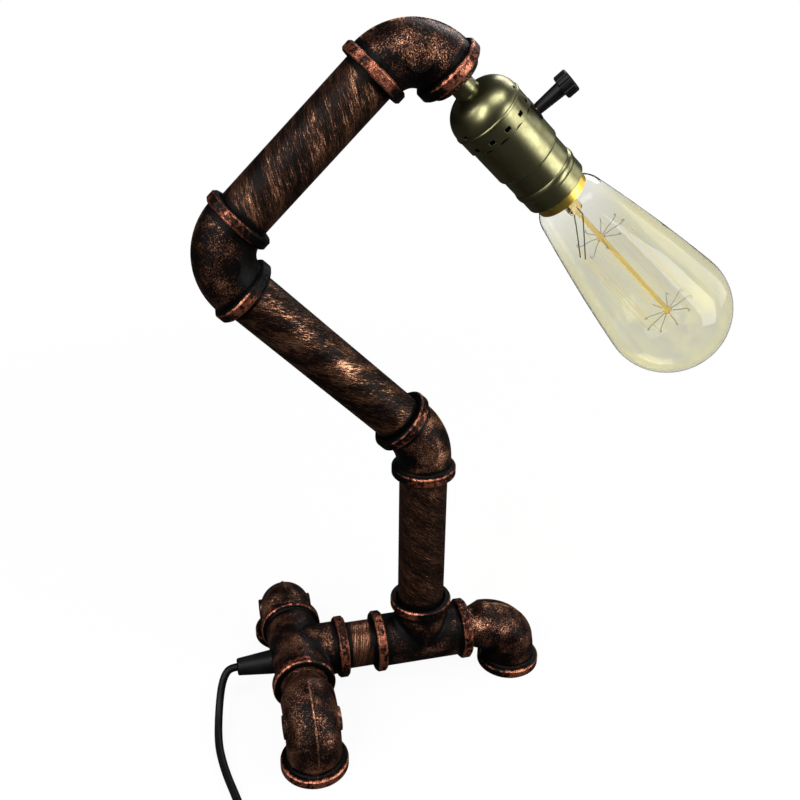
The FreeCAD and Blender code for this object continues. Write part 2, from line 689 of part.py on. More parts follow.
cap = new_body("socket_cap")
cap_corners = [
    (NIPPLE_BORE, COLLAR),
    ("collar_diameter / 2", COLLAR),
    ("collar_diameter / 2", DOME),
    ("cap_diameter / 2 - cap_bead", f"{DOME} + dome_radius"),
    ("cap_diameter / 2", f"{DOME} + dome_radius + cap_bead"),
    ("cap_diameter / 2", f"{DOME} + dome_radius + 3 * cap_bead"),
    ("cap_diameter / 2 - cap_bead", f"{DOME} + dome_radius + 4 * cap_bead"),
    ("cap_diameter / 2 - cap_bead", f"{DOME} + cap_height"),
    (CAP_INSIDE, f"{DOME} + cap_height"),
    (CAP_INSIDE, f"{DOME} + dome_radius"),
    (NIPPLE_BORE, f"{DOME} + brass_wall"),
]
cap_rounds = {2: (1, "dome_radius"), 9: (-1, "dome_radius - brass_wall")}
revolve(cap, outline(cap, "cap_outline", cap_corners, cap_rounds))
window_middle = f"{DOME} + cap_height - cap_lap / 2"
window = outline(
    cap,
    "crimp_window",
    [
        ("-window_width / 2", f"{window_middle} - window_height / 2"),
        ("window_width / 2", f"{window_middle} - window_height / 2"),
        ("window_width / 2", f"{window_middle} + window_height / 2"),
        ("-window_width / 2", f"{window_middle} + window_height / 2"),
    ],
)
repeat_round(cap, pocket(cap, window, "cap_diameter"), "crimp_windows", "window_count")
between_windows = Placement(Vector(), Rotation(ACROSS, 180 / size("window_count")))
scallop_middle = ("0", f"{DOME} + cap_height + scallop_diameter / 2 - scallop_depth")
scallop = circle(cap, "scallop", "XZ_Plane", "scallop_diameter", between_windows, scallop_middle)
repeat_round(cap, pocket(cap, scallop, "cap_diameter"), "scallops", "window_count")
vent_middle = ("0", f"{DOME} + dome_radius - vent_diameter")
vent = circle(cap, "vent", "XZ_Plane", "vent_diameter", None, vent_middle)
repeat_round(cap, pocket(cap, vent, "cap_diameter"), "vents", "vent_count")
keep(cap, head_place)


def cut_slot(body, name, width, far):
    """The slot for the switch plate, from the shell's top edge down, on the body's +Y side."""
    slot = outline(
        body,
        name,
        [
            (f"-({width}) / 2", f"{SHELL_TOP} - brass_wall"),
            (f"({width}) / 2", f"{SHELL_TOP} - brass_wall"),
            (f"({width}) / 2", far),
            (f"-({width}) / 2", far),
        ],
    )
    pocket(body, slot, "cap_diameter")


SLOT_END = f"{KNOB} + plate_margin + plate_play"
ROLL = f"{SHELL_NARROW} + shell_roll_station"
shell = new_body("socket_shell")
shell_corners = [
    (SHELL_OUTSIDE, SHELL_TOP),
    (SHELL_OUTSIDE, SHELL_STEP),
    (NARROW_OUTSIDE, SHELL_NARROW),
    (NARROW_OUTSIDE, f"{ROLL} - 2 * shell_groove"),
    (f"{NARROW_OUTSIDE} - shell_groove", f"{ROLL} - shell_groove"),
    (NARROW_OUTSIDE, ROLL),
    (NARROW_OUTSIDE, f"{ROLL} + shell_roll_width"),
    (NARROW_OUTSIDE, f"{SHELL_END} - brass_wall"),
    (NARROW_INSIDE, SHELL_END),
    (f"{NARROW_INSIDE} - brass_wall", SHELL_END),
    (f"{NARROW_INSIDE} - brass_wall", f"{SHELL_END} - brass_wall"),
    (NARROW_INSIDE, f"{SHELL_END} - brass_wall"),
    (NARROW_INSIDE, SHELL_NARROW),
    (SHELL_INSIDE, SHELL_STEP),
    (SHELL_INSIDE, SHELL_TOP),
]
shell_rounds = {1: (1, "shell_step_radius"), 5: (1, "shell_roll_radius"), 7: (1, "brass_wall")}
revolve(shell, outline(shell, "shell_outline", shell_corners, shell_rounds))
cut_slot(shell, "shell_slot", "plate_width + 2 * plate_play", SLOT_END)
keep(shell, knob_side)

liner = new_body("shell_liner")
liner_corners = [
    (f"{LINER_INSIDE} + liner_wall", f"{SHELL_TOP} + brass_wall"),
    (f"{LINER_INSIDE} + liner_wall", SHELL_STEP),
    (f"{NARROW_INSIDE} - holder_play", SHELL_NARROW),
    (f"{NARROW_INSIDE} - holder_play", f"{SHELL_END} - 2 * brass_wall"),
    (f"{NARROW_INSIDE} - holder_play - liner_wall", f"{SHELL_END} - 2 * brass_wall"),
    (f"{NARROW_INSIDE} - holder_play - liner_wall", SHELL_NARROW),
    (LINER_INSIDE, SHELL_STEP),
    (LINER_INSIDE, f"{SHELL_TOP} + brass_wall"),
]
revolve(liner, outline(liner, "liner_outline", liner_corners))
cut_slot(liner, "liner_slot", "plate_width + 2 * plate_play", SLOT_END)
keep(liner, knob_side)

BODY_TOP = f"{SHELL_TOP} + switch_body_inset"
switch_body = new_body("switch_body")
block = [("0", BODY_TOP), (BODY_RADIUS, BODY_TOP), (BODY_RADIUS, SHELL_STEP), ("0", SHELL_STEP)]
revolve(switch_body, outline(switch_body, "switch_block", block))
SHAFT_HOLE = "shaft_diameter + 2 * knob_play"
shaft_hole = circle(switch_body, "shaft_hole", "XZ_Plane", SHAFT_HOLE, None, ("0", KNOB))
pocket(switch_body, shaft_hole, "cap_diameter")
top_face = Placement(UP * size(BODY_TOP), Rotation())
for side in ("", "-"):
    hole = circle(
        switch_body,
        "terminal_hole_left" if side else "terminal_hole_right",
        "XY_Plane",
        "terminal_shank_diameter + 2 * holder_play",
        top_face,
        (f"{side}terminal_spacing / 2", "0"),
    )
    pocket(switch_body, hole, "terminal_shank_length + 2 * holder_play", reverse=True)
keep(switch_body, knob_side)

screw_parts = []
for side in (1, -1):
    for kind, width, length, start in (
        ("head", "terminal_head_diameter", "terminal_head_height", f"{BODY_TOP} - terminal_head_height"),
        ("shank", "terminal_shank_diameter", "terminal_shank_length", BODY_TOP),
    ):
        bar = doc.addObject("Part::Cylinder", f"terminal_{kind}")
        bar.setExpression("Radius", bound(f"({width}) / 2"))
        bar.setExpression("Height", bound(length))
        bar.setExpression("Placement.Base.x", bound(f"{side} * terminal_spacing / 2"))
        bar.setExpression("Placement.Base.z", bound(start))
        screw_parts.append(bar)
terminal_screws = doc.addObject("Part::MultiFuse", "terminal_screws")
terminal_screws.Shapes = screw_parts
keep(terminal_screws, knob_side)

turned(
    "screw_shell",
    [
        ("contact_hole / 2", SHELL_STEP),
        (SCREW_OUTSIDE, SHELL_STEP),
        (SCREW_OUTSIDE, f"{SHELL_STEP} + screw_shell_length"),
        (SCREW_INSIDE, f"{SHELL_STEP} + screw_shell_length"),
        (SCREW_INSIDE, f"{SHELL_STEP} + screw_shell_wall"),
        ("contact_hole / 2", f"{SHELL_STEP} + screw_shell_wall"),
    ],
    placement=head_place,
)

contact = new_body("centre_contact")
contact_strip = outline(
    contact,
    "contact_strip",
    [
        ("-contact_length / 2", SHELL_STEP),
        ("contact_length / 2", SHELL_STEP),
        ("contact_length / 2", f"{SHELL_STEP} + contact_sheet"),
        ("contact_length / 4", f"{SHELL_STEP} + contact_rise"),
        ("-contact_length / 4", f"{SHELL_STEP} + contact_rise"),
        ("-contact_length / 2", f"{SHELL_STEP} + contact_sheet"),
    ],
)
pad(contact, contact_strip, "contact_width", symmetric=True)
keep(contact, knob_side)


# ---------------------------------------------------------------- switch

knob_axis = Placement(
    knob_side.multVec(UP * size(KNOB)), knob_side.Rotation * Rotation(FORWARD, -CORNER)
)
STEM_START = f"{SHELL_OUTSIDE} + plate_proud + knob_gap"
GRIP_END = "knob_stem_reach + knob_grip_length"
BORE_END = f"{STEM_START} + knob_bore_depth"

turned(
    "switch_shaft",
    [
        ("0", "shaft_depth"),
        ("shaft_diameter / 2", "shaft_depth"),
        ("shaft_diameter / 2", BORE_END),
        ("0", BORE_END),
    ],
    placement=knob_axis,
)

knob = new_body("switch_knob")
knob_corners = [
    ("shaft_diameter / 2", STEM_START),
    ("knob_stem_diameter / 2", STEM_START),
    ("knob_stem_root_diameter / 2", "knob_stem_reach"),
    ("knob_grip_diameter / 2 - knob_chamfer", "knob_stem_reach"),
    ("knob_grip_diameter / 2", "knob_stem_reach + knob_chamfer"),
    ("knob_grip_diameter / 2", f"{GRIP_END} - knob_chamfer"),
    ("knob_grip_diameter / 2 - knob_chamfer", GRIP_END),
    ("knob_recess_diameter / 2", GRIP_END),
    ("knob_recess_diameter / 2", f"{GRIP_END} - knob_recess_depth"),
    ("0", f"{GRIP_END} - knob_recess_depth"),
    ("0", BORE_END),
    ("shaft_diameter / 2", BORE_END),
]
revolve(knob, outline(knob, "knob_outline", knob_corners))
flute = circle(
    knob,
    "knob_flute",
    "XY_Plane",
    "knob_flute_diameter",
    Placement(UP * size("knob_stem_reach"), Rotation()),
    ("knob_grip_diameter / 2 + knob_flute_offset", "0"),
)
flute_cut = pocket(knob, flute, "knob_grip_length", reverse=True)
repeat_round(knob, flute_cut, "knob_flutes", "knob_flute_count")
keep(knob, knob_axis)

plate = new_body("switch_plate")
plate_seat = Placement(Vector(0, 0, -size(BODY_RADIUS)), Rotation())
SKIRT_END = f"{DOME} + cap_height"
plate_corners = [
    ("-plate_width / 2", f"{SKIRT_END} + plate_play"),
    ("plate_width / 2", f"{SKIRT_END} + plate_play"),
    ("plate_width / 2", f"{KNOB} + plate_margin"),
    ("-plate_width / 2", f"{KNOB} + plate_margin"),
]
plate_blank = outline(plate, "plate_blank", plate_corners, move=plate_seat)
pad(plate, plate_blank, f"{SHELL_OUTSIDE} + plate_proud - ({BODY_RADIUS})", reverse=True)
plate_hole = circle(plate, "plate_hole", "XZ_Plane", SHAFT_HOLE, None, ("0", KNOB))
pocket(plate, plate_hole, "cap_diameter")
keep(plate, knob_side)


# ---------------------------------------------------------------- bulb

CONTACT = f"{SHELL_STEP} + contact_rise + bulb_gap"
BLACK_GLASS = f"{CONTACT} + bulb_button_height"
CAP_START = f"{BLACK_GLASS} + bulb_insulator_height"
RING = f"{SHELL_END} + bulb_seat_gap"
NECK = f"{RING} + bulb_ring_length"

turned(
    "bulb_contact",
    [
        ("0", CONTACT),
        ("bulb_button_diameter / 2 - bulb_button_height / 2", CONTACT),
        ("bulb_button_diameter / 2", f"{CONTACT} + bulb_button_height / 2"),
        ("bulb_button_diameter / 2", BLACK_GLASS),
        ("0", BLACK_GLASS),
    ],
    placement=head_place,
)
turned(
    "bulb_insulator",
    [
        ("0", BLACK_GLASS),
        ("bulb_button_diameter / 2 + bulb_button_height", BLACK_GLASS),
        ("bulb_cap_mouth / 2", CAP_START),
        ("0", CAP_START),
    ],
    placement=head_place,
)
RING_OUTSIDE = "bulb_cap_diameter / 2 + bulb_ring_step"
turned(
    "bulb_cap",
    [
        ("bulb_cap_mouth / 2 - bulb_cap_wall", CAP_START),
        ("bulb_cap_mouth / 2", CAP_START),
        ("bulb_cap_diameter / 2", f"{CAP_START} + bulb_taper"),
        ("bulb_cap_diameter / 2", f"{RING} - bulb_cap_wall"),
        (RING_OUTSIDE, RING),
        (RING_OUTSIDE, NECK),
        (f"{RING_OUTSIDE} - bulb_cap_wall", NECK),
        (f"{RING_OUTSIDE} - bulb_cap_wall", RING),
        ("bulb_cap_diameter / 2 - bulb_cap_wall", f"{RING} - bulb_cap_wall"),
        ("bulb_cap_diameter / 2 - bulb_cap_wall", f"{CAP_START} + bulb_taper"),
    ],
    placement=head_place,
)

GLASS_NECK = "bulb_cap_diameter / 2 - bulb_cap_wall - holder_play"
SHOULDER = f"{NECK} + bulb_shoulder_length"
TIP = f"{NECK} + bulb_length"
BELLY = f"{TIP} - bulb_diameter / 2"


def glass_outline(name, inset):
    """The solid round the bulb's glass, drawn in by the inset."""
    belly = f"(bulb_diameter / 2 - {inset})"
    belly_edge = f"{belly} * cos(bulb_belly_angle)"
    corners = [
        ("0", f"{NECK} - bulb_neck_depth"),
        (f"{GLASS_NECK} - {inset}", f"{NECK} - bulb_neck_depth"),
        (f"{GLASS_NECK} - {inset}", NECK),
        (f"bulb_shoulder_diameter / 2 - {inset}", SHOULDER),
        (belly_edge, f"{BELLY} - {belly} * sin(bulb_belly_angle)"),
        ("0", f"{TIP} - {inset}"),
    ]
    rounds = {
        2: (1, f"bulb_shoulder_radius - {inset}"),
        3: (1, f"bulb_side_radius - {inset}"),
        4: (1, f"bulb_diameter / 2 - {inset}"),
    }
    return outline(glass, name, corners, rounds)


glass = new_body("bulb_glass")
revolve(glass, glass_outline("glass_outside", "0"))
revolve(glass, glass_outline("glass_inside", "glass_wall"), cut=True)
keep(glass, head_place)

UPPER_STAR = f"{NECK} + upper_star_station"
LOWER_STAR = f"{NECK} + lower_star_station"
PINCH = f"{NECK} + stem_length"
FLARE = f"{NECK} - bulb_neck_depth"
flare_radius = f"{GLASS_NECK} - glass_wall"
stem_corners = [
    ("0", FLARE),
    (flare_radius, FLARE),
    (flare_radius, f"{FLARE} + stem_flare"),
    ("stem_diameter / 2", f"{FLARE} + 3 * stem_flare"),
    ("stem_diameter / 2", f"{PINCH} - stem_flare"),
    ("arbor_diameter / 2", f"{PINCH} + stem_flare"),
]
for star in (UPPER_STAR, LOWER_STAR):
    stem_corners += [
        ("arbor_diameter / 2", f"{star} - button_length / 2"),
        ("button_diameter / 2", f"{star} - button_length / 4"),
        ("button_diameter / 2", f"{star} + button_length / 4"),
        ("arbor_diameter / 2", f"{star} + button_length / 2"),
    ]
stem_corners.append(("0", f"{LOWER_STAR} + button_length / 2"))
turned("glass_stem", stem_corners, placement=head_place)


def polar(radius, angle, station):
    """A point of the head by its distance from the axis, the angle round it and its station."""
    turn = math.radians(angle)
    return Vector(radius * math.cos(turn), radius * math.sin(turn), station)


def wire(start, end, diameter):
    """A thin six-sided wire."""
    way = end - start
    sideways = way.cross(UP if abs(way.z) < 0.9 * way.Length else FORWARD).normalize() * (diameter / 2)
    rim = [start + Rotation(way, 60 * k).multVec(sideways) for k in range(7)]
    return Part.Face(Part.makePolygon(rim)).extrude(way)


def wires(label, runs, diameter):
    """A sub-part of separate thin wires, each given by its ends."""
    bundle = doc.addObject("Part::Feature", label)
    bundle.Shape = Part.makeCompound([wire(start, end, diameter) for start, end in runs])
    return keep(bundle, head_place)


star_count = round(size("star_count"))
star_step = 360 / star_count
star_radius = size("star_radius")
hook = size("hook_length")
hold_radius = size("star_radius + (support_wire + filament_wire) / 2")
support_runs = []
upper_holds = []
lower_holds = []
for star, outward, first, holds in ((UPPER_STAR, -1, 1, upper_holds), (LOWER_STAR, 1, 0, lower_holds)):
    station = size(star)
    for index in range(first, star_count):
        angle = index * star_step
        root = polar(size("button_diameter / 2"), angle, station)
        elbow_point = polar(star_radius, angle, station)
        support_runs.append((root, elbow_point))
        support_runs.append((elbow_point, polar(star_radius, angle, station + outward * hook)))
        holds.append(polar(hold_radius, angle, station))
wires("support_wires", support_runs, size("support_wire"))

# the leads spread from both sides of the pinch and hold the filament's ends in the upper star
lead_angles = (0, -star_step / 2)
lead_middle = -star_step / 4
pinch_radius = size("stem_diameter / 2 + lead_wire / 2")
lead_hold = size("star_radius + (lead_wire + filament_wire) / 2 + holder_play")
lead_runs = []
for side, angle in zip((1, -1), lead_angles):
    pinch_angle = lead_middle + side * CORNER
    root = polar(pinch_radius, pinch_angle, size(f"{PINCH} - stem_length / 3"))
    bend_point = polar(pinch_radius, pinch_angle, size(f"{PINCH} + stem_flare"))
    lead_runs.append((root, bend_point))
    lead_runs.append((bend_point, polar(star_radius, angle, size(UPPER_STAR))))
wires("lead_wires", lead_runs, size("lead_wire"))

first_end, last_end = [polar(lead_hold, angle, size(UPPER_STAR)) for angle in lead_angles]
filament_route = [first_end]
for lower, upper in zip(lower_holds, upper_holds + [last_end]):
    filament_route += [lower, upper]
wires("filament", zip(filament_route, filament_route[1:]), size("filament_wire"))


# ---------------------------------------------------------------- cord inside the pipes


def cord(label, points, bend=None):
    """A round cord along straight runs joined by tangent arcs; bend sets one radius for all arcs."""
    edges = []
    start = points[0]
    radii = []
    for index in range(1, len(points) - 1):
        before, corner, after = points[index - 1 : index + 2]
        way_in = (corner - before).normalize()
        way_out = (after - corner).normalize()
        half_turn = way_in.getAngle(way_out) / 2
        shorter = min((corner - before).Length, (after - corner).Length)
        radius = size(bend) if bend else 0.45 * shorter / math.tan(half_turn)
        cut = radius * math.tan(half_turn)
        inward = (way_out - way_in).normalize()
        arc_start = corner - way_in * cut
        arc_end = corner + way_out * cut
        arc_middle = corner + inward * (radius / math.cos(half_turn) - radius)
        edges.append(Part.LineSegment(start, arc_start).toShape())
        edges.append(Part.Arc(arc_start, arc_middle, arc_end).toShape())
        start = arc_end
        radii.append(round(radius, 1))
    edges.append(Part.LineSegment(start, points[-1]).toShape())
    path = Part.Wire(edges)
    section = Part.makeCircle(size("cord_diameter / 2"), points[0], points[1] - points[0])
    solid = path.makePipeShell([Part.Wire(section)], True, False)
    expected = math.pi * size("cord_diameter / 2") ** 2 * path.Length
    if abs(solid.Volume / expected - 1) > 0.01:
        raise RuntimeError(f"{label} has a wrong volume")
    print(label, "length", round(path.Length, 1), "radii", radii)
    made = doc.addObject("Part::Feature", label)
    made.Shape = solid
    return keep(made)


entry = relief_axis - FORWARD * size("relief_depth")
post_top = half_elbow_centre - UP * size("half_elbow_reach")
lower_arm_top = middle_elbow_centre - along(-LEAN, size("elbow_reach"))
upper_arm_top = head_elbow_centre - along(LEAN, size("elbow_reach"))
switch_top = head_place.multVec(UP * size(BODY_TOP))
straightened = rear_tee_centre + FORWARD * size("tee_reach")
cord("base_cord", [entry, straightened, post_tee_centre, post_top], "cord_diameter * 3")
cord("lower_arm_cord", [post_top, half_elbow_centre, lower_arm_top], "half_elbow_bend")
cord("upper_arm_cord", [lower_arm_top, middle_elbow_centre, upper_arm_top], "cord_bend")
cord("head_cord", [upper_arm_top, head_elbow_centre, switch_top], "cord_bend")


# ---------------------------------------------------------------- cord on the floor, coil and plug


def from_post(x, y, z):
    return Vector(x - size("post_setback"), y, z)


floor = size("cord_diameter / 2")
relief_tip = relief_axis - FORWARD * size("fitting_diameter / 2 + relief_length")
lead_route = [
    relief_tip,
    from_post(-105.9, 0, relief_tip.z),
    from_post(-109.0, -1.5, 22.7),
    from_post(-111.3, -4.1, 18.2),
    from_post(-112.9, -7.6, 12.8),
    from_post(-114.2, -12.4, 8.0),
    from_post(-115.3, -18.8, 4.7),
    from_post(-116.1, -26.7, 2.8),
    from_post(-116.2, -36.0, floor),
    from_post(-114.5, -51.0, floor),
    from_post(-110.7, -69.0, floor),
    from_post(-106.9, -89.0, floor),
    from_post(-104.2, -109.0, floor),
    from_post(-103.3, -128.0, floor),
]
cord("cord_lead", lead_route)

coil_centre = from_post(-72.0, -128.0, 0)
coil_edge = "cord_diameter / 4"
coil_corners = [
    ("coil_inner_diameter / 2", "0"),
    (f"coil_outer_diameter / 2 - {coil_edge}", "0"),
    ("coil_outer_diameter / 2", coil_edge),
    ("coil_outer_diameter / 2", f"coil_height - {coil_edge}"),
    (f"coil_outer_diameter / 2 - {coil_edge}", "coil_height"),
    ("coil_inner_diameter / 2", "coil_height"),
]
turned("cord_coil", coil_corners, placement=Placement(coil_centre, Rotation()))

plug_start = from_post(-16.1, -149.0, size("plug_height") / 2)
tail_route = [
    from_post(-72.0, -159.3, 6.3),
    from_post(-57.1, -159.8, 4.4),
    from_post(-42.1, -158.4, 2.4),
    from_post(-28.1, -153.4, plug_start.z),
    plug_start,
]
cord("cord_tail", tail_route)

plug_way = (plug_start - tail_route[-2]).normalize()
plug_place = Placement(plug_start, Rotation(UP.cross(plug_way), UP, plug_way, "ZYX"))


def plug_section(name, width, height, station):
    """The plug's rectangle with cut corners, across its axis."""
    half, tall, corner = f"({width}) / 2", f"({height}) / 2", "plug_corner"
    corners = [
        (f"-({half}) + {corner}", f"-({tall})"),
        (f"{half} - {corner}", f"-({tall})"),
        (half, f"-({tall}) + {corner}"),
        (half, f"{tall} - {corner}"),
        (f"{half} - {corner}", tall),
        (f"-({half}) + {corner}", tall),
        (f"-({half})", f"{tall} - {corner}"),
        (f"-({half})", f"-({tall}) + {corner}"),
    ]
    move = Placement(UP * size(station), Rotation())
    return outline(plug, name, corners, role="XY_Plane", move=move)


plug = new_body("plug_body")
boot = [
    ("0", "0"),
    ("boot_tip_diameter / 2", "0"),
    ("boot_root_diameter / 2", "boot_length"),
    ("0", "boot_length"),
]
revolve(plug, outline(plug, "plug_boot", boot))
neck_width = "boot_root_diameter + plug_corner"
neck_height = "plug_height - plug_corner / 2"
plug_neck = plug_section("plug_neck", neck_width, neck_height, "boot_length")
shoulder_end = "boot_length + plug_shoulder"
plug_face = plug_section("plug_shoulder_end", "plug_width", "plug_height", shoulder_end)
loft = plug.newObject("PartDesign::AdditiveLoft", "plug_shoulder_loft")
loft.Profile = plug_neck
loft.Sections = [plug_face]
doc.recompute()
plug_front = plug_section("plug_front", "plug_width", "plug_height", shoulder_end)
pad(plug, plug_front, "plug_length - plug_shoulder")
keep(plug, plug_place)

blades = []
for side in (1, -1):
    blade = doc.addObject("Part::Box", "plug_blade")
    blade.setExpression("Length", bound("blade_thickness"))
    blade.setExpression("Width", bound("blade_width"))
    blade.setExpression("Height", bound("blade_length"))
    blade.setExpression("Placement.Base.x", bound(f"{side} * blade_spacing / 2 - blade_thickness / 2"))
    blade.setExpression("Placement.Base.y", bound("-blade_width / 2"))
    blade.setExpression("Placement.Base.z", bound("boot_length + plug_length"))
    blades.append(blade)
plug_blades = doc.addObject("Part::MultiFuse", "plug_blades")
plug_blades.Shapes = blades
keep(plug_blades, plug_place)


# ---------------------------------------------------------------- checks and files

doc.recompute()
for item in doc.Objects:
    if "Invalid" in item.State or "Error" in item.State:
        raise RuntimeError(f"{item.Label} failed: {item.State}")
for subpart in subparts:
    if subpart.Shape.isNull() or not subpart.Shape.isValid():
        raise RuntimeError(f"{subpart.Label} is not a valid solid")
    if subpart.Shape.Volume <= 0 or not subpart.Shape.Solids:
        raise RuntimeError(f"{subpart.Label} holds no solid")
for subpart in subparts:
    subpart.Shape.exportStep(f"parts/{subpart.Label}.step")
print(len(subparts), "sub-parts written")
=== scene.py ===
import json
import math

import bpy
from mathutils import Matrix, Vector


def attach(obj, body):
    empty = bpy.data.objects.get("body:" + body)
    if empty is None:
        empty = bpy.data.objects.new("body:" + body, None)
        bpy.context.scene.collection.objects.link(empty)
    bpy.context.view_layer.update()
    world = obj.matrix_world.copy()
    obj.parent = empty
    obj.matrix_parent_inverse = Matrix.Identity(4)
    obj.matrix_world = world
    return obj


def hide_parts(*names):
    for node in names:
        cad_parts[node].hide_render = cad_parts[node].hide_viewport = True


# Industrial pipe table lamp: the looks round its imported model.
# Sizes below are in millimetres, in the row frame; Blender's own are metres, so MM turns one into the other.

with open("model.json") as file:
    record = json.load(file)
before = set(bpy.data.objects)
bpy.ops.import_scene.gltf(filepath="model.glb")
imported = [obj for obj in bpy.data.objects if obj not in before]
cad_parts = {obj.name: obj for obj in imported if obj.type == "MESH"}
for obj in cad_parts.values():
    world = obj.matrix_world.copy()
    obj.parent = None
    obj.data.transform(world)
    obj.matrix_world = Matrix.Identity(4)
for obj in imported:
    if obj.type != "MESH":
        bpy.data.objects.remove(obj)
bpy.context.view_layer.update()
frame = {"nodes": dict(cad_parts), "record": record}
nodes = frame["nodes"]
MM = 0.001

# ---------------------------------------------------------------- where the lamp's pieces stand

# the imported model's own driving sizes; a reach is from a fitting's centre to its mouth
POST_X = -24.0
FLOOR_TO_TEE = 28.3
TEE_REACH = 27.0
NIPPLE_LENGTH = 15.5
POST_LENGTH = 78.0
LOWER_ARM_LENGTH = 100.0
UPPER_ARM_LENGTH = 80.0
HALF_ELBOW_REACH = 19.7
ELBOW_REACH = 26.0
FOOT_REACH = 26.5
PIPE_RADIUS = 12.5
BODY_RADIUS = 14.2
BAND_RADIUS = 16.6
FOOT_BAND_RADIUS = 17.5
BAND_WIDTH = 5.6
CORD_DIAMETER = 4.2

UP = Vector((0, 0, 1))
FORWARD = Vector((1, 0, 0))
ACROSS = Vector((0, 1, 0))


def leaning(angle):
    """Up, leaning towards +X by the angle in degrees."""
    return Vector((math.sin(math.radians(angle)), 0, math.cos(math.radians(angle))))


LOWER_ARM_WAY = leaning(-45)
UPPER_ARM_WAY = leaning(45)
HEAD_WAY = leaning(135)
HEAD_SIDE = leaning(-135)

post_tee_centre = Vector((POST_X, 0, FLOOR_TO_TEE))
rear_tee_centre = post_tee_centre - FORWARD * (2 * TEE_REACH + NIPPLE_LENGTH)
half_elbow_centre = post_tee_centre + UP * (TEE_REACH + POST_LENGTH + HALF_ELBOW_REACH)
middle_elbow_centre = half_elbow_centre + LOWER_ARM_WAY * (HALF_ELBOW_REACH + LOWER_ARM_LENGTH + ELBOW_REACH)
head_elbow_centre = middle_elbow_centre + UPPER_ARM_WAY * (2 * ELBOW_REACH + UPPER_ARM_LENGTH)


def head_point(radius, angle, station):
    """A point of the head by its distance from the axis, the angle round it in degrees and its station."""
    turn = math.radians(angle)
    sideways = HEAD_SIDE * math.cos(turn) + ACROSS * math.sin(turn)
    return head_elbow_centre + HEAD_WAY * station + sideways * radius


# ---------------------------------------------------------------- camera

# the picture's width and its focal length in pixels, and the sensor's width
PICTURE = 800.0
FOCAL_PIXELS = 1009.61
SENSOR = 36.0
# where the camera stands, and which way it looks: round, down and tilted
EYE = Vector((-147.4, -434.2, 397.9))
EYE_AZIMUTH = math.radians(-14.274)
EYE_ELEVATION = math.radians(26.281)
EYE_ROLL = math.radians(0.646)


def make_camera():
    ahead = Vector(
        (
            -math.sin(EYE_AZIMUTH) * math.cos(EYE_ELEVATION),
            math.cos(EYE_AZIMUTH) * math.cos(EYE_ELEVATION),
            -math.sin(EYE_ELEVATION),
        )
    )
    level = ahead.cross(UP).normalized()
    upright = level.cross(ahead)
    right = level * math.cos(EYE_ROLL) + upright * math.sin(EYE_ROLL)
    above = right.cross(ahead)
    data = bpy.data.cameras.new("camera")
    data.sensor_width = SENSOR
    data.lens = SENSOR * FOCAL_PIXELS / PICTURE
    data.clip_start = 0.01
    data.clip_end = 50
    camera = bpy.data.objects.new("camera", data)
    turn = Matrix((right, above, -ahead)).transposed()
    camera.matrix_world = Matrix.Translation(EYE * MM) @ turn.to_4x4()
    bpy.context.scene.collection.objects.link(camera)
    bpy.context.scene.camera = camera


make_camera()

# ---------------------------------------------------------------- procedural finishes


